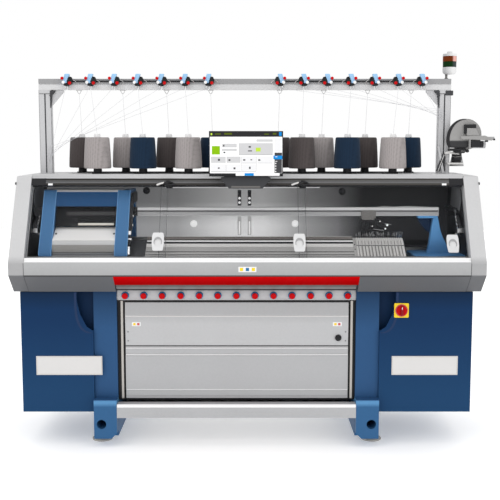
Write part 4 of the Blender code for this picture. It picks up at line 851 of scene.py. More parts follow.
guard.prism([(YRAIL_LOW.x + 0.62, YRAIL_HIGH.z - 0.001), (YRAIL_HIGH.x - 0.36, YRAIL_HIGH.z - 0.001),
             (YRAIL_HIGH.x - 0.30, YRAIL_HIGH.z + 0.0045), (YRAIL_HIGH.x - 0.24, YRAIL_HIGH.z + 0.0020),
             (YRAIL_HIGH.x - 0.16, YRAIL_HIGH.z + 0.0045), (YRAIL_HIGH.x - 0.010, YRAIL_HIGH.z - 0.001)],
            COMB + 0.004, COMB + 0.016, "Y")
guard.done("rail_top_strip", SILVER, "frame", bevel=0.0006, slot="yarn_rail")
rail_right = YRAIL_HIGH.x - 0.004
groove = Shape()
groove.box((MX - 0.60, rail_right), (YRAIL_LOW.y - 0.0007, YRAIL_LOW.y + 0.001), (1.2712, 1.2770))
groove.done("rail_groove", SEAM, "frame", slot="yarn_rail")
# Lighter strips along the rail's upper and lower lips paint their highlights.
rail_lip = Shape()
rail_lip.box((MX - 0.60, rail_right), (YRAIL_LOW.y - 0.0007, YRAIL_LOW.y + 0.001),
             (1.2780, YRAIL_HIGH.z - 0.0012))
rail_lip.box((MX - 0.60, rail_right), (YRAIL_LOW.y - 0.0006, YRAIL_LOW.y + 0.001),
             (YRAIL_LOW.z + 0.0006, YRAIL_LOW.z + 0.0022))
rail_lip.done("rail_upper_lip", RAIL_LIGHT, "frame", bevel=0.0005, slot="yarn_rail")


# ------------------------------------------------------------------ hood and lower front
KNOB_LOW, KNOB_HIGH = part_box("take_down_knob_bar")
DOOR_LOW, DOOR_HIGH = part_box("cloth_door")
PANEL_LOW, PANEL_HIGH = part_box("lower_panel")
KICK_LOW, KICK_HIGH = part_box("kick_plate")
knob_mid = (KNOB_LOW.x + KNOB_HIGH.x) / 2
knob_z = KNOB_LOW.z + 0.025
caps = Shape()
collars = Shape()
for i in range(13):
    x = knob_mid + (i - 6) * 0.100
    back = KNOB_HIGH.y - 0.0125
    collars.turned([(0.0, 0.0), (0.0205, 0.0), (0.0205, 0.007), (0.0190, 0.009), (0.0, 0.009)],
                   (x, back, knob_z + 0.0015), "Y", 32)
    caps.turned([(0.0, 0.008), (0.0135, 0.008), (0.0140, 0.0120), (0.0163, 0.0140), (0.0166, 0.0240),
                 (0.0150, 0.0280),
                 (0.0105, 0.0292), (0.0095, 0.0280), (0.0, 0.0275)], (x, back, knob_z), "Y", 32)
collars.done("knob_collars", COLLAR_BLUE, "frame", slot="take_down_knob_bar")
caps.done("knob_caps", RED_KNOB, "frame", slot="take_down_knob_bar")
trims = Shape()
face = KNOB_HIGH.y - 0.0125
trims.box((KNOB_LOW.x + 0.004, KNOB_HIGH.x - 0.004), (face - 0.0022, face),
          (KNOB_HIGH.z - 0.020, KNOB_HIGH.z - 0.004))
trims.box((KNOB_LOW.x + 0.004, KNOB_HIGH.x - 0.004), (face - 0.0012, face),
          (KNOB_LOW.z + 0.001, KNOB_LOW.z + 0.006))
trims.done("knob_bar_ridges", SILVER, "frame", bevel=0.0008, slot="take_down_knob_bar")
under = Shape()
under.box((KNOB_LOW.x + 0.006, KNOB_HIGH.x - 0.006), (face - 0.0008, face + 0.004),
          (KNOB_LOW.z - 0.010, KNOB_LOW.z - 0.0004))
under.done("knob_bar_seal", RUBBER, "frame", bevel=0.0005)

# A pale rod along the door's bend paints the highlight on the bend.
bend_z = DOOR_LOW.z + 0.163
bend = Shape()
bend.rod((DOOR_LOW.x + 0.002, DOOR_LOW.y + 0.0022, bend_z), (DOOR_HIGH.x - 0.002, DOOR_LOW.y + 0.0022,
                                                             bend_z), 0.0034, sides=20)
bend.done("door_bend_highlight", PALE, "door", slot="cloth_door")
bolts = Shape()
for x in (DOOR_LOW.x + 0.014, DOOR_HIGH.x - 0.014):
    for z in (DOOR_LOW.z + 0.026, DOOR_LOW.z + 0.076):
        y = DOOR_LOW.y + 0.0055 - (z - DOOR_LOW.z - 0.040) * 0.07
        bolts.turned([(0.0, 0.0), (0.0040, 0.0), (0.0034, 0.0014), (0.0, 0.0018)], (x, y + 0.002, z), "Y",
                     16)
bolts.done("door_screws", MID, "door", slot="cloth_door")
# Light rods along the lower panel's ridges paint their highlights.
ribs = Shape()
for z, deep in ((PANEL_HIGH.z - 0.0090, 0.0026), (PANEL_LOW.z + 0.242, 0.0022),
                (PANEL_LOW.z + 0.0480, 0.0026)):
    ribs.rod((PANEL_LOW.x + 0.002, PANEL_LOW.y + 0.0030, z),
             (PANEL_HIGH.x - 0.002, PANEL_LOW.y + 0.0030, z), 0.0036, sides=16)
ribs.done("panel_ridge_highlights", LIGHT_COAT, "frame", slot="lower_panel")
# Grey lines paint the shadows along the lower panel's creases.
creases = Shape()
for z in (PANEL_LOW.z + 0.060, PANEL_HIGH.z - 0.052, PANEL_LOW.z + 0.012):
    creases.box((PANEL_LOW.x + 0.002, PANEL_HIGH.x - 0.002), (PANEL_LOW.y + 0.0006, PANEL_LOW.y + 0.0046),
                (z - 0.0012, z + 0.0012))
creases.done("panel_crease_shadows", SHADE, "frame", bevel=0.0004, slot="lower_panel")
# A white rounded strip paints the highlight along the kick plate's top edge.
edge = Shape()
edge.box((KICK_LOW.x + 0.001, KICK_HIGH.x - 0.001), (KICK_LOW.y - 0.0022, KICK_LOW.y + 0.010),
         (KICK_HIGH.z - 0.0170, KICK_HIGH.z + 0.0010))
edge.done("kick_edge_highlight", HANDLE, "frame", bevel=0.0030, slot="kick_plate", segments=4)
side_strips = Shape()
for x in (DOOR_LOW.x - 0.0175, DOOR_HIGH.x + 0.0175):
    side_strips.box((x - 0.0060, x + 0.0060), (PANEL_LOW.y - 0.0010, PANEL_LOW.y + 0.012),
                    (PANEL_LOW.z, DOOR_HIGH.z + 0.010))
side_strips.done("panel_side_strips", BEIGE, "frame", bevel=0.0008)

plates = Shape()
for x in (MX - 0.964, MX + 0.9585):
    low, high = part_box("cabinet_left" if x < MX else "cabinet_right")
    plates.box((x - 0.1786, x + 0.1786), (low.y - 0.0022, low.y + 0.0005), (0.395, 0.499))
plates.done("blank_name_plates", OFF_WHITE, "frame", bevel=0.0009)
lines = Shape()
for x in (MX - 0.964, MX + 0.9585):
    low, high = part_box("cabinet_left")
    for z in (0.3995, 0.4945):
        lines.box((x - 0.174, x + 0.174), (low.y - 0.0026, low.y - 0.0020), (z - 0.0009, z + 0.0009))
    for end in (-0.1745, 0.1745):
        lines.box((x + end - 0.0009, x + end + 0.0009), (low.y - 0.0026, low.y - 0.0020), (0.3995, 0.4945))
lines.done("name_plate_borders", WARM_WHITE, "frame")
labels = Shape()
for x in (DOOR_LOW.x + 0.060, DOOR_HIGH.x - 0.060):
    labels.box((x - 0.0240, x + 0.0240), (DOOR_LOW.y + 0.0022, DOOR_LOW.y + 0.0045),
               (DOOR_LOW.z + 0.108, DOOR_LOW.z + 0.130))
labels.done("door_blank_labels", WHITE_LABEL, "door", bevel=0.0004)
COVER_FACE = COVER_LOW.y
tag = Shape()
tag.box((MX - 0.0470, MX + 0.0470), (COVER_FACE - 0.0010, COVER_FACE + 0.0005), (0.974, 1.002))
tag.done("cover_blank_label", WHITE_LABEL, "frame", bevel=0.0004)
for name, spots, material, body, y in (
        ("yellow", [(MX - 0.031, 0.988, 0.0085), (MX + 0.031, 0.988, 0.0085)], YELLOW, "frame",
         COVER_FACE - 0.0014),
        ("blue", [(MX, 0.988, 0.0085)], COLLAR_BLUE, "frame", COVER_FACE - 0.0014),
        ("door_yellow", [(DOOR_LOW.x + 0.050, DOOR_LOW.z + 0.119, 0.0065),
                         (DOOR_HIGH.x - 0.070, DOOR_LOW.z + 0.119, 0.0065)],
         YELLOW, "door", DOOR_LOW.y + 0.0018),
        ("door_rose", [(DOOR_LOW.x + 0.071, DOOR_LOW.z + 0.119, 0.0065),
                       (DOOR_HIGH.x - 0.049, DOOR_LOW.z + 0.119, 0.0065)],
         ROSE, "door", DOOR_LOW.y + 0.0018)):
    dots = Shape()
    for x, z, size in spots:
        dots.box((x - size, x + size), (y, y + 0.0006), (z - size, z + size))
    dots.done("colour_patch_" + name, material, body, bevel=0.0002)

seams = Shape()
left, right = COVER_LOW.x + 0.001, COVER_HIGH.x - 0.001
seams.prism([(COVER_FACE - 0.0008, 0.9565), (COVER_FACE - 0.0008, 0.9548), (COVER_FACE + 0.0045, 0.9490),
             (COVER_FACE + 0.0062, 0.9495), (COVER_FACE + 0.0015, 0.9560)], left, right, "X")
for node in ("casing_left", "casing_right"):
    low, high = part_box(node)
    x = high.x if node == "casing_left" else low.x
    seams.prism([(COVER_FACE - 0.0009, 0.955), (COVER_FACE - 0.0009, 1.0205),
                 (COVER_FACE + 0.004, 1.0205), (COVER_FACE + 0.004, 0.955)],
                x - 0.0011, x + 0.0011, "X")
    seams.prism([(COVER_FACE - 0.0009, 0.955), (-0.3411, 0.8535), (-0.337, 0.8535),
                 (COVER_FACE + 0.004, 0.957)],
                x - 0.0011, x + 0.0011, "X")
seams.done("cover_seams", SEAM, "frame")
# A sheet in the recess between the red trim and the knob bar carries the painted shade gradient of that
# underside.
recess = Shape()
TRIM_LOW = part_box("red_trim")[0]
recess.prism([(TRIM_LOW.y + 0.0680, TRIM_LOW.z - 0.0006), (KNOB_LOW.y - 0.0020, KNOB_HIGH.z + 0.0010),
              (KNOB_LOW.y + 0.0030, KNOB_HIGH.z + 0.0006),
              (TRIM_LOW.y + 0.0740, TRIM_LOW.z - 0.0006)], KNOB_LOW.x + 0.006, KNOB_HIGH.x - 0.006, "X")
recess.done("trim_recess", RECESS, "frame")
# A white strip paints the highlight along the cover's top edge.
bright = Shape()
bright.prism([(COVER_FACE + 0.0030, 1.0252), (COVER_FACE + 0.0068, 1.0296), (COVER_FACE + 0.0092, 1.0268),
              (COVER_FACE + 0.0060, 1.0235)], left + 0.003, right - 0.003, "X")
bright.done("cover_top_highlight", HANDLE, "frame", bevel=0.0008, slot="front_cover", segments=3)
# A white strip paints the highlight along the top of the lower window track.
sill = Shape()
(y1, z1), (y2, z2) = on_glass(-0.0195, -0.004), on_glass(-0.0195, 0.046)
(y3, z3), (y4, z4) = on_glass(-0.0160, 0.046), on_glass(-0.0160, -0.004)
sill.prism([(y1, z1), (y2, z2), (y3, z3), (y4, z4)], left + 0.003, right - 0.003, "X")
sill.done("track_sill_highlight", HANDLE, "frame", slot="window_track_bottom")
studs = Shape()
for side, node in ((-1, "casing_left"), (1, "casing_right")):
    low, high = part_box(node)
    x = low.x if side < 0 else high.x
    for y, z in ((-0.222, 1.425), (-0.400, 1.060), (-0.360, 0.920), (0.38, 1.40), (0.38, 0.92),
                 (0.10, 1.40), (0.10, 0.92)):
        studs.rod((x - side * 0.0005, y, z), (x + side * 0.0050, y, z), 0.0085, 0.0070, 20)
studs.done("casing_bolts", DARK, "frame", bevel=0.0008)
switch = middle("switch_plate")
ring = Shape()
low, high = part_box("switch_plate")
ring.turned([(0.0, 0.0), (0.0345, 0.0), (0.0345, 0.0012), (0.0335, 0.0018), (0.0, 0.0018)],
            (switch.x, low.y + 0.0015, switch.z), "Y", 40)
ring.done("switch_ring", ROSE, "frame", slot="switch_plate")
grip = Shape()
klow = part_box("switch_knob")[0]
grip.prism([(switch.x - 0.0075, switch.z - 0.0250), (switch.x + 0.0075, switch.z - 0.0250),
            (switch.x + 0.0060, switch.z + 0.0250),
            (switch.x - 0.0060, switch.z + 0.0250)], klow.y - 0.0012, klow.y + 0.012, "Y")
grip.done("switch_grip", DARK_RED, "main_switch", bevel=0.0022, slot="switch_knob")
marks = Shape()
marks.box((switch.x - 0.0016, switch.x + 0.0016), (klow.y - 0.0018, klow.y - 0.0008),
          (switch.z + 0.010, switch.z + 0.022))
marks.done("switch_pointer", HANDLE, "main_switch", slot="switch_knob")
shoulders = Shape()
rims = Shape()
for side, node in ((-1, "cabinet_left"), (1, "cabinet_right")):
    low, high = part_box(node)
    inner = high.x if side < 0 else low.x
    a, b = sorted((inner - side * 0.002, inner + side * 0.100))
    shoulders.box((a, b), (low.y + 0.060, low.y + 0.064), (0.615, high.z - 0.002))
    curve = []
    for i in range(15):
        turn = i / 14
        curve.append((inner + side * (0.088 - 0.086 * turn ** 2.2),
                      high.z - 0.052 - 0.170 * math.sin(turn * math.pi / 2) ** 0.9))
    loop = [(inner + side * 0.088, high.z - 0.001)] + curve
    back = [(x + side * 0.012, z - 0.004) for x, z in reversed(loop)]
    rims.prism(loop + back, low.y - 0.0007, low.y + 0.002, "Y")
shoulders.done("cabinet_shoulders", CABINET_DEEP, "frame")
rims.done("cabinet_curved_edges", CABINET_BLUE, "frame")
collar = Shape()
discs = Shape()
for node in ("foot_front_left", "foot_front_right", "foot_rear_left", "foot_rear_right"):
    low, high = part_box(node)
    mid = (low + high) / 2
    discs.turned([(0.0, 0.0), (0.054, 0.0), (0.0562, 0.003), (0.0562, 0.0085), (0.050, 0.0135),
                  (0.032, 0.0162), (0.0, 0.0168)],
                 (mid.x, mid.y, low.z), steps=48)
    collar.turned([(0.0, 0.0150), (0.0330, 0.0150), (0.0345, 0.020), (0.0300, 0.026), (0.0230, 0.030),
                   (0.0230, 0.0488),
                   (0.0, 0.0488)], (mid.x, mid.y, low.z), steps=6)
discs.done("foot_discs", BEIGE, "frame", slot="foot_front_left")
collar.done("foot_nuts", BLACK, "frame", bevel=0.0012, slot="foot_front_left")


# ------------------------------------------------------------------ screen, bracket and light bar
SCREEN_LOW, SCREEN_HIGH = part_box("monitor")
screen_mid = (SCREEN_LOW.x + SCREEN_HIGH.x) / 2
wide = SCREEN_HIGH.x - SCREEN_LOW.x
tall = SCREEN_HIGH.z - SCREEN_LOW.z
glass_y = SCREEN_LOW.y


def tile(shape, left, top, width, height, lift=0.0012):
    """A flat field on the screen, in shares of its width and height, measured from the top left corner."""
    x = SCREEN_LOW.x + left * wide
    z = SCREEN_HIGH.z - top * tall
    shape.box((x, x + width * wide), (glass_y - lift, glass_y + 0.0005), (z - height * tall, z))
    return shape


fields = {
    "frame_black": (BLACK, 0.0016, [(0.0, 0.0, 1.0, 0.125), (0.0, 0.93, 0.36, 0.07),
                                    (0.955, 0.93, 0.045, 0.07),
                                    (0.0, 0.0, 0.010, 1.0), (0.990, 0.0, 0.010, 1.0),
                                    (0.0, 0.985, 1.0, 0.015)]),
    "page_white": (SCREEN_WHITE, 0.0010, [(0.010, 0.125, 0.980, 0.860)]),
    "tile_grey": (SCREEN_GREY, 0.0016, [(0.40, 0.265, 0.455, 0.250), (0.175, 0.275, 0.200, 0.085),
                                        (0.175, 0.385, 0.200, 0.055),
                                        (0.025, 0.560, 0.200, 0.140), (0.235, 0.560, 0.190, 0.140),
                                        (0.640, 0.180, 0.220, 0.055)]),
    "tile_pale": (SCREEN_PALE, 0.0016, [(0.445, 0.555, 0.190, 0.145), (0.650, 0.555, 0.205, 0.145),
                                        (0.025, 0.735, 0.200, 0.150),
                                        (0.235, 0.735, 0.190, 0.150), (0.445, 0.730, 0.190, 0.150),
                                        (0.885, 0.170, 0.095, 0.290)]),
    "tile_line": (SCREEN_LINE, 0.0013, [(0.40, 0.516, 0.460, 0.012), (0.445, 0.701, 0.190, 0.010),
                                        (0.650, 0.701, 0.208, 0.010),
                                        (0.025, 0.886, 0.610, 0.010), (0.227, 0.735, 0.005, 0.150),
                                        (0.437, 0.555, 0.005, 0.325),
                                        (0.637, 0.555, 0.005, 0.325), (0.858, 0.265, 0.005, 0.250)]),
    "icon_green": (SCREEN_GREEN, 0.0020, [(0.038, 0.330, 0.108, 0.185)]),
    "icon_lime": (SCREEN_LIME, 0.0020, [(0.632, 0.365, 0.065, 0.085), (0.022, 0.045, 0.022, 0.045)]),
    "icon_olive": (SCREEN_OLIVE, 0.0020, [(0.080, 0.050, 0.080, 0.030), (0.205, 0.040, 0.105, 0.040),
                                          (0.745, 0.055, 0.065, 0.025),
                                          (0.860, 0.040, 0.050, 0.040)]),
    "icon_blue": (SCREEN_BLUE, 0.0022, [(0.870, 0.540, 0.120, 0.080), (0.480, 0.928, 0.125, 0.055),
                                        (0.945, 0.020, 0.035, 0.085)]),
    "icon_dark": (SCREEN_DARK, 0.0019, [(0.885, 0.475, 0.100, 0.450), (0.190, 0.300, 0.018, 0.040),
                                        (0.195, 0.455, 0.024, 0.030),
                                        (0.535, 0.330, 0.030, 0.035), (0.525, 0.425, 0.055, 0.022),
                                        (0.120, 0.610, 0.026, 0.045),
                                        (0.262, 0.620, 0.026, 0.035), (0.460, 0.620, 0.030, 0.030),
                                        (0.665, 0.622, 0.028, 0.030),
                                        (0.118, 0.800, 0.024, 0.030), (0.330, 0.800, 0.026, 0.040),
                                        (0.540, 0.785, 0.022, 0.050),
                                        (0.560, 0.622, 0.022, 0.020)]),
    "icon_pale": (SCREEN_WHITE, 0.0026, [(0.893, 0.700, 0.016, 0.022), (0.893, 0.760, 0.016, 0.022),
                                         (0.893, 0.820, 0.016, 0.022),
                                         (0.893, 0.880, 0.016, 0.022), (0.893, 0.660, 0.030, 0.010),
                                         (0.893, 0.560, 0.030, 0.012),
                                         (0.36, 0.940, 0.110, 0.040), (0.62, 0.940, 0.330, 0.040)]),
}
for name, (material, lift, spots) in fields.items():
    shape = Shape()
    for left, top, width, height in spots:
        tile(shape, left, top, width, height, lift)
    shape.done("screen_" + name, material, "screen", bevel=0.0002, slot="monitor")
rear = Shape()
rear.box((screen_mid - 0.150, screen_mid + 0.150), (SCREEN_LOW.y + 0.0295, SCREEN_LOW.y + 0.0320),
         (SCREEN_LOW.z + 0.055, SCREEN_HIGH.z - 0.030))
for i in range(9):
    x = screen_mid - 0.112 + i * 0.028
    rear.box((x - 0.008, x + 0.008), (SCREEN_LOW.y + 0.0310, SCREEN_LOW.y + 0.0345),
             (SCREEN_HIGH.z - 0.075, SCREEN_HIGH.z - 0.048))
rear.done("screen_rear_vents", DARK, "screen", bevel=0.0012, slot="monitor")

BR_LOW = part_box("monitor_bracket")[0]
apron = Shape()
bz = BR_LOW.z
apron.prism([(screen_mid - 0.092, bz + 0.001), (screen_mid + 0.088, bz + 0.001),
             (screen_mid + 0.131, bz + 0.049),
             (screen_mid + 0.131, bz + 0.058), (screen_mid - 0.135, bz + 0.058),
             (screen_mid - 0.135, bz + 0.049)],
            BR_LOW.y - 0.0016, BR_LOW.y + 0.001, "Y")
apron.done("bracket_apron", DARK, "frame", bevel=0.0012, slot="monitor_bracket")
lip = Shape()
lip.box((screen_mid - 0.080, screen_mid + 0.076), (BR_LOW.y - 0.0030, BR_LOW.y - 0.0010),
        (bz + 0.004, bz + 0.0145))
lip.done("bracket_lip", GUNMETAL, "frame", bevel=0.0012, slot="monitor_bracket")

LED_LOW, LED_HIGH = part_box("led_lamp_bar")
led_z = LED_LOW.z + 0.006
hoods = Shape()
hoods.box((LED_LOW.x + 0.001, LED_HIGH.x - 0.001), (LED_LOW.y + 0.002, LED_LOW.y + 0.018),
          (LED_LOW.z + 0.0118, LED_LOW.z + 0.0150))
for x in (LED_LOW.x + 0.010, LED_HIGH.x - 0.105):
    hoods.tube([(x + 0.012, LED_LOW.y + 0.006, led_z + 0.006),
                (x - 0.002, LED_LOW.y + 0.010, led_z + 0.014),
                (x - 0.010, LED_LOW.y + 0.024, led_z + 0.026),
                (x + 0.002, LED_LOW.y + 0.044, led_z + 0.040),
                (x + 0.004, LED_LOW.y + 0.046, led_z + 0.045)], 0.0075, 10)
    hoods.rod((x - 0.006, LED_LOW.y - 0.002, led_z - 0.002),
              (x + 0.030, LED_LOW.y - 0.002, led_z - 0.002), 0.0065, sides=16)
hoods.done("led_hood_and_arms", BLACK, "frame", bevel=0.001, slot="led_lamp_bar")
tips = Shape()
for x in (LED_LOW.x + 0.010, LED_HIGH.x - 0.105):
    tips.tube([(x - 0.030, LED_LOW.y + 0.004, led_z + 0.006),
               (x - 0.012, LED_LOW.y + 0.004, led_z + 0.016)], 0.0055, 10)
tips.done("led_arm_tips", PALE, "frame", slot="led_lamp_bar")


CAST_LOW, CAST_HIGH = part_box("rail_end_casting")
casting = Shape()
casting.box((CAST_LOW.x, CAST_HIGH.x), (CAST_LOW.y, CAST_HIGH.y), (CAST_LOW.z, 1.0430))
casting.prism([(0.9200, 1.0400), (0.9290, 1.0610), (0.9360, 1.0990), (0.9541, 1.2360), (0.9820, 1.2360),
               (0.9970, 1.1650),
               (1.0100, 1.1300), (1.0262, 1.0990), (1.0440, 1.0600), (1.0700, 1.0400)], YRAIL_LOW.y,
               YRAIL_HIGH.y, "Y")
casting.box((0.8705, 0.9800), (YRAIL_LOW.y - 0.004, YRAIL_HIGH.y + 0.004), (1.2340, CAST_HIGH.z))
casting.done("casting_body", CAST_BLUE_PAINTED_LIGHT, "frame", bevel=0.0040, slot="rail_end_casting",
             replaces=("rail_end_casting",), segments=3)
# The web is painted in the darkest, shaded blue of the cabinets: painted shade.
web = Shape()
web.prism([(0.8720, 1.2350), (0.9560, 1.2350), (0.9450, 1.1520), (0.9350, 1.1540), (0.9150, 1.1720),
           (0.8984, 1.1930), (0.8800, 1.2180)],
          YRAIL_HIGH.y - 0.0055, YRAIL_HIGH.y + 0.0035, "Y")
web.done("casting_web", CABINET_PAINTED_SHADE, "frame", bevel=0.0020, slot="rail_end_casting", segments=3)


# ------------------------------------------------------------------ back wall, shelf front and inner sides
WALL_LOW, WALL_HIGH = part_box("back_wall")
wy = WALL_LOW.y
# Painted light on the back wall's parts: the spots, slots and column glow with their own colour in place of
# the light bar's light, and the column is painted darker towards the top as shade.
SPOT = lit(surface("spot_white_painted_glow", (0.88, 0.88, 0.88), 0.4), 0.60)
SLOT_GREY = lit(surface("slot_grey_painted_glow", (0.40, 0.40, 0.40), 0.5), 0.50)
COLUMN_COAT = lit(shaded(surface("column_painted_light_and_shade", (0.78, 0.78, 0.785), 0.4), 2, 1.16, 1.30, 1.0, 0.46), 0.50)
column = Shape()
column.box((MX - 0.058, MX + 0.030), (wy - 0.0040, wy + 0.0005), (WALL_LOW.z + 0.11, WALL_HIGH.z - 0.012))
column.done("wall_column", COLUMN_COAT, "frame", bevel=0.0015, slot="back_wall")
dark_slots = Shape()
pale_slots = Shape()
pins = Shape()
for x in (-0.0480, 0.0105):
    dark_slots.box((MX + x - 0.0105, MX + x + 0.0105), (wy - 0.0046, wy + 0.0005), (1.2780, 1.3690))
    pale_slots.box((MX + x - 0.0105, MX + x + 0.0105), (wy - 0.0046, wy + 0.0005), (1.1060, 1.2160))
    for z in (1.2960, 1.3210):
        pins.turned([(0.0, 0.0), (0.0075, 0.0), (0.0060, 0.0030), (0.0, 0.0036)],
                    (MX + x, wy - 0.0040, z), "Y", 20)
    pins.box((MX + x - 0.0040, MX + x + 0.0040), (wy - 0.0056, wy - 0.0040), (1.1100, 1.1850))
pale_slots.done("wall_lower_slots", SLOT_GREY, "frame", bevel=0.0008, slot="back_wall")
pins.done("wall_slot_pins", SPOT, "frame", slot="back_wall")
for x, z in ((-0.590, 1.366), (0.5507, 1.360)):
    dark_slots.turned([(0.0, 0.0), (0.0200, 0.0), (0.0210, 0.006), (0.0150, 0.012), (0.0080, 0.018),
                       (0.0, 0.019)],
                      (MX + x, wy, z), "Y", 24)
dark_slots.done("wall_slots_and_knobs", DARK, "frame", bevel=0.0008, slot="back_wall")
spots = Shape()
for x in (-0.316, 0.278):
    spots.turned([(0.0, 0.0), (0.0190, 0.0), (0.0195, 0.004), (0.0160, 0.008), (0.0, 0.009)],
                 (MX + x, wy, 1.172), "Y", 32)
spots.done("wall_spots", SPOT, "frame", slot="back_wall")
SLOPE_Y = SHELF_LOW.y
front_band = Shape()
front_band.box((SHELF_LOW.x + 0.002, SHELF_HIGH.x - 0.002), (SLOPE_Y - 0.0016, SLOPE_Y + 0.004),
               (SHELF_LOW.z + 0.0020, SHELF_LOW.z + 0.0085))
front_band.done("shelf_lower_edge", SILVER, "frame", bevel=0.0008, slot="cone_shelf")
channel = Shape()
(y1, z1), (y2, z2) = on_glass(0.430, 0.0005), on_glass(0.468, 0.0005)
(y3, z3), (y4, z4) = on_glass(0.468, 0.0030), on_glass(0.430, 0.0030)
channel.prism([(y1, z1), (y2, z2), (y3, z3), (y4, z4)], SHELF_LOW.x + 0.003, SHELF_HIGH.x - 0.003, "X")
channel.done("track_head_cover", TAUPE, "frame", slot="window_track_top")
lines = Shape()
for up in (0.442, 0.452):
    (y1, z1), (y2, z2) = on_glass(up, -0.0004), on_glass(up + 0.0030, -0.0004)
    (y3, z3), (y4, z4) = on_glass(up + 0.0030, 0.0010), on_glass(up, 0.0010)
    lines.prism([(y1, z1), (y2, z2), (y3, z3), (y4, z4)], SHELF_LOW.x + 0.003, SHELF_HIGH.x - 0.003, "X")
lines.done("track_head_lines", MID, "frame", slot="window_track_top")
ends = Shape()
for x in (MX - 1.066, MX + 1.064):
    (y1, z1), (y2, z2) = on_glass(0.4275, -0.0035), on_glass(0.4375, -0.0035)
    (y3, z3), (y4, z4) = on_glass(0.4375, 0.0020), on_glass(0.4275, 0.0020)
    ends.prism([(y1, z1), (y2, z2), (y3, z3), (y4, z4)], x - 0.012, x + 0.012, "X")
ends.done("track_end_blocks", HANDLE, "frame", slot="window_track_top")
corners = Shape()
(y1, z1), (y2, z2) = on_glass(0.4285, -0.0012), on_glass(0.4700, -0.0012)
(y3, z3), (y4, z4) = on_glass(0.4700, 0.0020), on_glass(0.4285, 0.0020)
for a, b in ((SHELF_LOW.x + 0.001, SHELF_LOW.x + 0.078), (SHELF_HIGH.x - 0.078, SHELF_HIGH.x - 0.001)):
    corners.prism([(y1, z1), (y2, z2), (y3, z3), (y4, z4)], a, b, "X")
corners.done("track_dark_corners", BLACK, "frame", bevel=0.0006, slot="window_track_top")
lamp_arms = Shape()
lamp_tips = Shape()
for x in (MX - 0.445, MX + 0.284):
    points = [on_glass(0.4250, -0.0050), on_glass(0.4360, -0.0080), on_glass(0.4480, -0.0090),
              on_glass(0.4400, -0.0080)]
    places = [(x + shift, y, z) for shift, (y, z) in zip((0.020, -0.008, 0.010, 0.042), points)]
    lamp_arms.tube(places, 0.0058, 12)
    lamp_arms.rod((x + 0.020, points[0][0], points[0][1]), (x + 0.052, points[0][0] + 0.004,
                                                            points[0][1] + 0.004), 0.0068, sides=16)
    lamp_tips.tube([(x - 0.046, points[0][0] + 0.002, points[0][1] + 0.002),
                    (x - 0.022, points[1][0], points[1][1]),
                    (x - 0.006, points[1][0], points[1][1] + 0.003)], 0.0052, 12)
lamp_arms.done("led_front_arms", BLACK, "frame", slot="led_lamp_bar")
lamp_tips.done("led_front_tips", PALE, "frame", slot="led_lamp_bar")

sides = Shape()
for side in (-1, 1):
    a, b = sorted((MX + side * (IN - 0.0005), MX + side * (IN - 0.0030)))
    loop = [on_glass(0.012, 0.060), on_glass(0.432, 0.060), (0.165, 1.430), (0.165, 1.006), (-0.345, 1.006)]
    sides.prism(loop, a, b, "X")
sides.done("inner_side_liners", BLACK, "frame", bevel=0.0006)
patch = Shape()
bits = Shape()
boxes = Shape()
for side in (-1, 1):
    x1 = MX + side * (IN - 0.004)
    x2 = MX + side * (IN - 0.030)
    a, b = sorted((x1, x2))
    boxes.box((a, b), (-0.17, 0.02), (1.19, 1.235))
    boxes.prism([(-0.215, 1.200), (-0.150, 1.246), (-0.120, 1.246), (-0.120, 1.170), (-0.230, 1.150)], a,
                b, "X")
    boxes.box((a, b), (-0.10, 0.12), (1.262, 1.284))
    for y, z, run in ((-0.225, 1.205, 0.050), (-0.210, 1.226, 0.056), (-0.245, 1.186, 0.040),
                      (-0.190, 1.244, 0.050)):
        bits.tube([(x2 - side * 0.004, y, z), (x2 + side * 0.004, y + run, z + 0.030)], 0.0042, 8)
    bits.box((a, b), (-0.232, -0.222), (1.158, 1.182))
    bits.rod((x1, -0.20, 1.150), (x2 - side * 0.006, -0.20, 1.150), 0.0080, sides=16)
    a, b = sorted((MX + side * (IN - 0.0031), MX + side * (IN - 0.0045)))
    patch.prism([(-0.180, 1.330), (-0.145, 1.405), (0.060, 1.405), (0.090, 1.290), (-0.150, 1.270)], a, b,
                "X")
boxes.done("side_units", DARK, "frame", bevel=0.003)
bits.done("side_unit_levers", BRIGHT, "frame", bevel=0.0008)
patch.done("side_grey_panels", MID, "frame", bevel=0.0006)


# ------------------------------------------------------------------ carriage details
ARM_LOW, ARM_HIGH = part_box("carriage_bow")
CAM_LOW, CAM_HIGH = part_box("carriage_front_box")
ARM = 0.066
c1, c2 = ARM_LOW.x + ARM, ARM_HIGH.x - ARM
fascia = Shape()
fascia.prism([(CAM_LOW.y - 0.0003, 1.0660), (CAM_LOW.y - 0.0003, 1.0980), (CAM_LOW.y + 0.0003, 1.1040),
              (CAM_LOW.y + 0.0020, 1.1040),
              (CAM_LOW.y + 0.0020, 1.0660)], CAM_LOW.x + 0.001, CAM_HIGH.x - 0.001, "X")
fascia.done("carriage_fascia", FASCIA, "carriage", bevel=0.0006, slot="carriage_front_box")
for name, material, heights in (("dark", SEAM, ((1.0615, 1.0648), (1.0515, 1.0545))),
                                ("mid", MID, ((1.0550, 1.0612), (1.0462, 1.0510)))):
    shape = Shape()
    for z1, z2 in heights:
        shape.box((CAM_LOW.x + 0.001, CAM_HIGH.x - 0.001), (CAM_LOW.y - 0.0008, CAM_LOW.y + 0.001),
                  (z1, z2))
    shape.done("carriage_grooves_" + name, material, "carriage", slot="carriage_front_box")
lid = Shape()
lid.prism([(CAM_LOW.y + 0.0120, 1.1265), (-0.2155, 1.1885), (-0.2155, 1.1900),
           (CAM_LOW.y + 0.0120, 1.1280)],
          CAM_LOW.x + 0.001, CAM_HIGH.x - 0.001, "X")
lid.done("carriage_lid", LID, "carriage", slot="carriage_front_box")
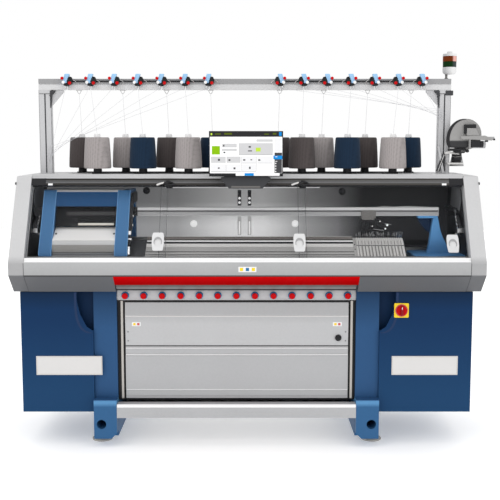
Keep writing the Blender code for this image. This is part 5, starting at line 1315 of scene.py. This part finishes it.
screws = Shape()
for x in (CAM_LOW.x + 0.012, CAM_HIGH.x - 0.012):
    screws.rod((x, -0.276, 1.1552), (x, -0.2785, 1.1602), 0.0055, 0.0045, 16)
screws.done("carriage_screws", BLACK, "carriage", bevel=0.0006, slot="carriage_front_box")
# The beam's leaning front face is painted a darker blue than the arms as shade.
beam = Shape()
beam.prism([(-0.2193, 1.3030), (-0.1787, 1.3760), (-0.1775, 1.3753), (-0.2178, 1.3030)], c1 + 0.001,
           c2 - 0.001, "X")
beam.done("carriage_beam_face", BEAM_BLUE, "carriage", slot="carriage_bow")
beam_top = Shape()
beam_top.prism([(-0.1765, 1.3778), (-0.1642, 1.3868), (-0.0400, 1.3868), (-0.0400, 1.3885),
                (-0.1652, 1.3885), (-0.1775, 1.3790)],
               c1 - 0.030, c2 + 0.028, "X")
beam_top.done("carriage_beam_top", PALE, "carriage", bevel=0.0005, slot="carriage_bow")
# A black sheet on the inside of the carriage's arch, under the beam, paints the shade there.
shade = Shape()
shade.prism([(-0.2440, 1.1960), (-0.1935, 1.2960), (-0.1915, 1.2950), (-0.2420, 1.1950)], c1 + 0.001,
            c2 - 0.001, "X")
shade.box((c1 + 0.001, c2 - 0.001), (-0.2150, -0.1925), (1.2965, 1.3015))
shade.done("carriage_inner_painted_shade", PAINTED_SHADE_BLACK, "carriage", slot="carriage_bow")
inside = Shape()
inside.prism([(-0.2170, 1.2530), (-0.2075, 1.2720), (-0.2055, 1.2710), (-0.2150, 1.2520)], c1 + 0.060,
             c2 - 0.002, "X")
inside.done("carriage_inner_band", SHADOW_GREY, "carriage", bevel=0.0004, slot="carriage_bow")
bar = Shape()
bar.prism([(-0.2425, 1.2005), (-0.2365, 1.2125), (-0.2345, 1.2115), (-0.2405, 1.1995)], c1 + 0.125,
          c2 - 0.018, "X")
bar.done("carriage_inner_plate", WARM_PLATE, "carriage", bevel=0.0006, slot="carriage_bow")
knob = Shape()
knob.prism([(-0.2445, 1.1965), (-0.2360, 1.2130), (-0.2310, 1.2110), (-0.2400, 1.1945)], c1 + 0.085,
           c1 + 0.125, "X")
knob.prism([(-0.2340, 1.2180), (-0.2240, 1.2380), (-0.2210, 1.2365), (-0.2310, 1.2165)], c1 + 0.098,
           c1 + 0.120, "X")
knob.done("carriage_inner_blocks", BLACK, "carriage", bevel=0.0010, slot="carriage_bow")
device = Shape()
x = ARM_HIGH.x
device.prism([(-0.2960, 1.1780), (-0.2070, 1.3280), (-0.1960, 1.3120), (-0.2640, 1.1780)], x + 0.0004,
             x + 0.0200, "X")
device.prism([(-0.1900, 1.3150), (-0.1600, 1.3700), (0.0200, 1.3700), (0.0200, 1.3150)], x + 0.0004,
             x + 0.0160, "X")
device.prism([(-0.3300, 1.1000), (-0.3030, 1.1500), (-0.2850, 1.1400), (-0.3100, 1.0900)], x + 0.0004,
             x + 0.0160, "X")
device.done("carriage_side_device", BLACK, "carriage", bevel=0.0020, slot="carriage_bow")
metal = Shape()
metal.prism([(-0.3520, 1.0550), (-0.3330, 1.0950), (-0.3240, 1.0880), (-0.3340, 1.0550)], x + 0.0004,
            x + 0.0130, "X")
metal.prism([(-0.3000, 1.1560), (-0.2880, 1.1800), (-0.2680, 1.1740), (-0.2800, 1.1500)], x + 0.0004,
            x + 0.0150, "X")
metal.rod((x + 0.0004, -0.2350, 1.2500), (x + 0.0240, -0.2350, 1.2500), 0.0085, sides=20)
metal.rod((x + 0.0004, -0.2660, 1.2020), (x + 0.0240, -0.2660, 1.2020), 0.0070, sides=20)
metal.rod((x + 0.0004, -0.3060, 1.1300), (x + 0.0200, -0.3060, 1.1300), 0.0075, sides=20)
metal.done("carriage_side_metal", BRIGHT, "carriage", bevel=0.0010, slot="carriage_bow")
faces = Shape()
for a, b in ((ARM_LOW.x + 0.0010, c1 - 0.0010), (c2 + 0.0010, ARM_HIGH.x - 0.0010)):
    faces.prism([(-0.3632, 1.0480), (-0.3632, 1.0650), (-0.1792, 1.3785), (-0.1660, 1.3880),
                 (-0.1500, 1.3880),
                 (-0.1500, 1.3868), (-0.1650, 1.3868), (-0.1780, 1.3775), (-0.3618, 1.0645),
                 (-0.3618, 1.0480)], a, b, "X")
faces.done("carriage_arm_faces", ARM_BLUE, "carriage", bevel=0.0006, slot="carriage_bow")
# Thin light blue wires along the arms' edges paint the highlights on their chamfers.
edges = Shape()
for x in (c1, c2, ARM_LOW.x, ARM_HIGH.x):
    edges.tube([(x, -0.3630, 1.0500), (x, -0.3630, 1.0650), (x, -0.1790, 1.3785), (x, -0.1655, 1.3880)],
               0.0016, 8)
edges.done("carriage_arm_edge_highlights", EDGE_BLUE, "carriage", slot="carriage_bow")


# ------------------------------------------------------------------ signal lamp and yarn feed unit
LAMP_LOW, LAMP_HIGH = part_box("lamp_red")
BASE_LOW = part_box("lamp_base")[0]
lamp_x, lamp_y = (LAMP_LOW.x + LAMP_HIGH.x) / 2 - 0.0055, (LAMP_LOW.y + LAMP_HIGH.y) / 2
lens = Shape()
lens.turned([(0.0, 2.0870), (0.0365, 2.0870), (0.0375, 2.0880), (0.0375, 2.1145), (0.0365, 2.1155),
             (0.0, 2.1155)],
            (lamp_x, lamp_y, 0.0), steps=48)
lens.done("lamp_ring_red", LAMP_RED, "frame", slot="lamp_red", replaces=("lamp_red",))
lens = Shape()
lens.turned([(0.0, 2.0566), (0.0370, 2.0566), (0.0370, 2.0590), (0.0362, 2.0600), (0.0370, 2.0610),
             (0.0370, 2.0860),
             (0.0360, 2.0868), (0.0, 2.0868)], (lamp_x, lamp_y, 0.0), steps=48)
lens.done("lamp_ring_green", LAMP_GREEN, "frame", slot="lamp_green", replaces=("lamp_green",))
cap = Shape()
cap.turned([(0.0, 2.1157), (0.0375, 2.1157), (0.0380, 2.1170), (0.0380, 2.1265), (0.0360, 2.1290),
            (0.0160, 2.1300),
            (0.0150, 2.1390), (0.0120, 2.1425), (0.0060, 2.1436), (0.0, 2.1438)], (lamp_x, lamp_y, 0.0),
            steps=48)
cap.done("lamp_cap", LAMP_WHITE, "frame", slot="lamp_red")
cup = Shape()
cup.turned([(0.0, 2.0165), (0.0200, 2.0170), (0.0300, 2.0205), (0.0360, 2.0275), (0.0378, 2.0340),
            (0.0380, 2.0545),
            (0.0370, 2.0563), (0.0, 2.0563)], (lamp_x, lamp_y, 0.0), steps=48)
cup.done("lamp_cup", LAMP_WHITE, "frame", slot="lamp_base", replaces=("lamp_base",))
stem = Shape()
stem.turned([(0.0, BASE_LOW.z), (0.0110, BASE_LOW.z), (0.0110, BASE_LOW.z + 0.003),
             (0.0066, BASE_LOW.z + 0.0045),
             (0.0066, 2.0120), (0.0078, 2.0130), (0.0078, 2.0175), (0.0, 2.0175)],
             (lamp_x - 0.0166, lamp_y, 0.0), steps=24)
stem.done("lamp_stem", GUNMETAL, "frame", slot="lamp_base")

FEED_LOW, FEED_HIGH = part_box("feed_wheel")
fx, fz = 1.1250, 1.6616
fy = FEED_LOW.y - 0.0012
reach, rise = 0.0930, 0.1112
arc = [(fx + reach * math.cos(math.radians(a)), fz + rise * math.sin(math.radians(a))) for a in range(0,
                                                                                                      181,
                                                                                                      6)]
dome = Shape()
dome.prism([(fx + 0.084, 1.6185), (fx + reach, 1.6400)] + arc + [(fx - reach, 1.6400),
                                                                 (fx - 0.084, 1.6185)], fy - 0.012, fy, "Y")
dome.done("feed_dome", DOME_COAT, "frame", bevel=0.004, slot="feed_bracket", segments=3)
rim = Shape()
outer = [(fx + (reach + 0.0016) * math.cos(math.radians(a)),
          fz + (rise + 0.0014) * math.sin(math.radians(a))) for a in range(84, 196, 4)]
inner = []
for i, a in enumerate(range(84, 196, 4)):
    wide = 0.0025 + 0.0125 * math.sin(math.pi * min(i / 24, 1.0) * 0.5)
    inner.append((fx + (reach - wide) * math.cos(math.radians(a)),
                  fz + (rise - wide) * math.sin(math.radians(a))))
rim.prism(outer + [(fx - 0.082, 1.6165), (fx + 0.012, 1.6145), (fx + 0.012, 1.6185),
                   (fx - 0.070, 1.6210)] + inner[::-1],
          fy - 0.0142, fy - 0.001, "Y")
rim.done("feed_rim", BLACK, "frame", bevel=0.0008, slot="feed_bracket")
unit = Shape()
unit.prism([(1.1369, 1.6815), (1.1369, 1.7240), (1.1860, 1.7240), (1.2075, 1.6815)], fy - 0.030,
           fy - 0.010, "Y")
unit.prism([(1.1044, 1.6800), (1.2358, 1.6830), (1.2720, 1.6680), (1.2858, 1.6630), (1.2720, 1.6560),
            (1.1630, 1.6610), (1.1044, 1.6620)],
           fy - 0.036, fy - 0.026, "Y")
unit.box((1.1490, 1.1575), (fy - 0.040, fy - 0.014), (1.6120, 1.6640))
unit.done("feed_box_and_arm", DOME_GREY, "frame", bevel=0.0030, slot="feed_bracket", segments=3)
dark_parts = Shape()
dark_parts.prism([(1.1230, 1.7425), (1.1860, 1.7445), (1.1880, 1.7260), (1.1840, 1.7240),
                  (1.1340, 1.7290), (1.1350, 1.6930),
                  (1.1230, 1.6930)], fy - 0.0315, fy - 0.011, "Y")
dark_parts.box((1.1598, 1.2100), (fy - 0.038, fy - 0.002), (1.6190, 1.6545))
dark_parts.rod((1.2100, fy - 0.020, 1.6350), (1.2290, fy - 0.020, 1.6350), 0.0175, sides=24)
dark_parts.box((1.2380, 1.2540), (fy - 0.034, fy - 0.022), (1.6480, 1.6580))
dark_parts.rod((1.2800, fy - 0.031, 1.6620), (1.2915, fy - 0.031, 1.6620), 0.0052, sides=16)
dark_parts.box((1.0490, 1.1400), (fy - 0.010, FEED_HIGH.y + 0.020), (1.5990, 1.6130))
dark_parts.prism([(1.0740, 1.5980), (1.1390, 1.5980), (1.1300, 1.5870), (1.0800, 1.5870)], fy - 0.014,
                 fy + 0.020, "Y")
dark_parts.rod((1.1470, fy - 0.016, 1.5990), (1.1470, fy + 0.010, 1.5990), 0.0085, sides=20)
for z1, z2, size in ((1.5680, 1.5870, 0.0270), (1.5480, 1.5660, 0.0290), (1.5360, 1.5480, 0.0260)):
    dark_parts.rod((1.1000, -0.070, z1), (1.1000, -0.070, z2), size, sides=28)
dark_parts.done("feed_motor_and_clamp", CHARCOAL, "frame", bevel=0.0025, slot="feed_bracket")
plate = Shape()
plate.prism([(1.0300, 1.5900), (1.0490, 1.5985), (1.1080, 1.5850), (1.1080, 1.5790), (1.0490, 1.5830),
             (1.0300, 1.5820)], -0.100, -0.060, "Y")
plate.box((1.0440, 1.1300), (-0.105, -0.045), (1.5250, 1.5345))
plate.rod((1.1000, -0.070, 1.5660), (1.1000, -0.070, 1.5682), 0.0262, sides=28)
plate.done("feed_plates", PALE, "frame", bevel=0.0020, slot="feed_bracket")
PR_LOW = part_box("post_right")[0]
braces = Shape()
braces.prism([(1.0205, 1.5830), (1.0345, 1.5830), (1.0050, 1.4870), (0.9840, 1.4870)], PR_LOW.y - 0.012,
             PR_LOW.y - 0.003, "Y")
braces.box((1.0305, 1.0365), (PR_LOW.y - 0.010, PR_LOW.y - 0.002), (1.4870, 1.5700))
braces.done("post_brace", DARK, "frame", bevel=0.0010, slot="post_right")
# A pale strip along the brace's edge paints its highlight.
brace_light = Shape()
brace_light.prism([(1.0260, 1.5780), (1.0295, 1.5780), (0.9980, 1.4880), (0.9940, 1.4880)],
                  PR_LOW.y - 0.0135, PR_LOW.y - 0.0115, "Y")
brace_light.done("post_brace_edge_highlight", PALE, "frame", bevel=0.0003, slot="post_right")


# ------------------------------------------------------------------ back and side panels
REAR_LOW, REAR_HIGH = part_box("rear_cover")
LINER_LOW, LINER_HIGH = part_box("cloth_bay_liner")
gaps = Shape()
back = REAR_HIGH.y
for x in (MX - 0.40, MX + 0.40):
    gaps.box((x - 0.0011, x + 0.0011), (back - 0.0010, back + 0.0006),
             (REAR_LOW.z + 0.004, REAR_HIGH.z - 0.030))
gaps.box((REAR_LOW.x + 0.004, REAR_HIGH.x - 0.004), (back - 0.0010, back + 0.0006), (1.0060, 1.0082))
for x in (MX - 0.80, MX, MX + 0.80):
    for i in range(9):
        gaps.box((x - 0.070, x + 0.070), (back - 0.0010, back + 0.0008),
                 (1.2600 + 0.0130 * i, 1.2650 + 0.0130 * i))
gaps.done("rear_cover_gaps", SEAM, "frame", slot="rear_cover")
louvres = Shape()
for x in (MX - 0.80, MX, MX + 0.80):
    for i in range(9):
        z = 1.2650 + 0.0130 * i
        louvres.prism([(back - 0.0005, z + 0.0050), (back + 0.0040, z + 0.0002),
                       (back + 0.0030, z - 0.0006), (back - 0.0005, z + 0.0034)],
                      x - 0.070, x + 0.070, "X")
louvres.done("rear_cover_louvres", WHITE, "frame", slot="rear_cover")
grips = Shape()
for x in (MX - 0.98, MX - 0.20, MX + 0.20, MX + 0.98):
    grips.tube([(x - 0.055, back - 0.002, 1.100), (x - 0.055, back + 0.010, 1.100),
                (x - 0.050, back + 0.016, 1.100),
                (x + 0.050, back + 0.016, 1.100), (x + 0.055, back + 0.010, 1.100),
                (x + 0.055, back - 0.002, 1.100)], 0.0055, 12)
grips.done("rear_cover_grips", BLACK, "frame", slot="rear_cover")
screws = Shape()
for x in (-1.12, -0.44, -0.36, 0.36, 0.44, 1.12):
    for z in (0.885, 0.980, 1.035, 1.390):
        screws.turned([(0.0, 0.0), (0.0085, 0.0), (0.0075, -0.0026), (0.0030, -0.0034), (0.0, -0.0034)],
                      (MX + x, back - 0.0002, z), "Y", 20)
screws.done("rear_cover_screws", MID, "frame", slot="rear_cover")
rear_panel = Shape()
inset = 0.030
rear_panel.box((LINER_LOW.x + inset, LINER_HIGH.x - inset), (LINER_HIGH.y - 0.0005,
                                                             LINER_HIGH.y + 0.0028),
                                                             (LINER_LOW.z + inset, LINER_HIGH.z - inset))
rear_panel.done("rear_lower_panel", LIGHT_COAT, "frame", bevel=0.0016, slot="cloth_bay_liner")
slits = Shape()
for side in (-1, 1):
    for i in range(12):
        slits.box((MX + side * 0.36 - 0.090, MX + side * 0.36 + 0.090),
                  (LINER_HIGH.y + 0.0024, LINER_HIGH.y + 0.0034),
                  (LINER_LOW.z + 0.090 + 0.0160 * i, LINER_LOW.z + 0.0965 + 0.0160 * i))
slits.box((MX - 0.0010, MX + 0.0010), (LINER_HIGH.y + 0.0022, LINER_HIGH.y + 0.0032),
          (LINER_LOW.z + inset + 0.002, LINER_HIGH.z - inset - 0.002))
slits.done("rear_panel_slits", SEAM, "frame", slot="cloth_bay_liner")
fixings = Shape()
for x in (LINER_LOW.x + 0.050, MX - 0.030, MX + 0.030, LINER_HIGH.x - 0.050):
    for z in (LINER_LOW.z + 0.050, (LINER_LOW.z + LINER_HIGH.z) / 2, LINER_HIGH.z - 0.050):
        fixings.turned([(0.0, 0.0), (0.0085, 0.0), (0.0075, -0.0026), (0.0030, -0.0034), (0.0, -0.0034)],
                       (x, LINER_HIGH.y + 0.0024, z), "Y", 20)
fixings.done("rear_panel_screws", MID, "frame", slot="cloth_bay_liner")
doors = Shape()
lips = Shape()
latches = Shape()
for side, node in ((-1, "cabinet_left"), (1, "cabinet_right")):
    low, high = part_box(node)
    face = low.x if side < 0 else high.x
    y1, y2, z1, z2 = low.y + 0.050, high.y - 0.050, low.z + 0.055, high.z - 0.060
    a, b = sorted((face - side * 0.0005, face + side * 0.0026))
    doors.box((a, b), (y1, y2), (z1, z2))
    a, b = sorted((face + side * 0.0022, face + side * 0.0032))
    for i in range(14):
        lips.box((a, b), (y1 + 0.180, y2 - 0.180), (z1 + 0.060 + 0.0140 * i, z1 + 0.0655 + 0.0140 * i))
    a, b = sorted((face + side * 0.0020, face + side * 0.0090))
    for z in (z1 + 0.170, z2 - 0.130):
        latches.box((a, b), (y1 + 0.014, y1 + 0.034), (z - 0.026, z + 0.026))
        latches.rod((face + side * 0.0080, y1 + 0.024, z), (face + side * 0.0110, y1 + 0.024, z), 0.0070,
                    sides=20)
    a, b = sorted((face + side * 0.0018, face + side * 0.0080))
    for z in (z1 + 0.080, (z1 + z2) / 2, z2 - 0.080):
        latches.box((a, b), (y2 - 0.010, y2 + 0.008), (z - 0.034, z + 0.034))
doors.done("cabinet_side_doors", SIDE_BLUE, "frame", bevel=0.0016, slot="cabinet_left")
lips.done("cabinet_side_vents", BLACK, "frame", slot="cabinet_left")
latches.done("cabinet_latches_and_hinges", DARK, "frame", bevel=0.0014, slot="cabinet_left")
shields = Shape()
for side, node in ((-1, "casing_left"), (1, "casing_right")):
    low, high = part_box(node)
    face = low.x if side < 0 else high.x
    a, b = sorted((face - side * 0.0005, face + side * 0.0016))
    shields.prism([(-0.372, 1.022), (-0.218, 1.402), (0.345, 1.402), (0.395, 1.352), (0.395, 0.992),
                   (-0.372, 0.992)], a, b, "X")
shields.done("casing_side_covers", LIGHT_COAT, "frame", bevel=0.0012)
vents = Shape()
for side, node in ((-1, "casing_left"), (1, "casing_right")):
    low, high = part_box(node)
    face = low.x if side < 0 else high.x
    a, b = sorted((face + side * 0.0012, face + side * 0.0022))
    for i in range(10):
        vents.box((a, b), (0.10, 0.30), (1.085 + 0.0150 * i, 1.091 + 0.0150 * i))
vents.done("casing_side_vents", SEAM, "frame")


# ------------------------------------------------------------------ camera, light and floor
camera_data = bpy.data.cameras.new("camera")
camera_data.lens = 67.54
camera_data.sensor_width = 36.0
camera = bpy.data.objects.new("camera", camera_data)
camera.location = (MX + 0.0135, -5.30, 1.66)
camera.rotation_euler = (math.radians(90 - 6.7), 0.0, 0.0)
bpy.context.scene.collection.objects.link(camera)
bpy.context.scene.camera = camera

floor_mesh = bpy.data.meshes.new("floor")
floor_mesh.from_pydata([(-14, -9, 0), (14, -9, 0), (14, 12, 0), (-14, 12, 0)], [], [(0, 1, 2, 3)])
floor = bpy.data.objects.new("floor", floor_mesh)
floor_mesh.materials.append(surface("floor_pale", (0.97, 0.97, 0.97), 0.7, vary=0.005, bump=0.0,
                                    cloud=0.005, glow=0.30))
bpy.context.scene.collection.objects.link(floor)


def lamp(name, place, aim, size, power):
    data = bpy.data.lights.new(name, "AREA")
    data.shape = "RECTANGLE"
    data.size, data.size_y = size
    data.energy = power
    obj = bpy.data.objects.new(name, data)
    obj.location = place
    obj.rotation_euler = (Vector(aim) - Vector(place)).to_track_quat("-Z", "Y").to_euler()
    bpy.context.scene.collection.objects.link(obj)


lamp("key", (-2.6, -4.2, 4.2), (0, 0, 1.0), (3.0, 2.0), 26)
lamp("fill", (3.0, -4.4, 2.6), (0, 0, 1.0), (3.0, 2.0), 14)
lamp("top", (0, -0.4, 4.6), (0, 0, 1.0), (4.0, 2.0), 22)

world = bpy.data.worlds.new("studio")
world.use_nodes = True
world.node_tree.nodes["Background"].inputs["Color"].default_value = (1.0, 1.0, 1.0, 1.0)
world.node_tree.nodes["Background"].inputs["Strength"].default_value = 1.0
bpy.context.scene.world = world
bpy.context.scene.view_settings.view_transform = "Standard"
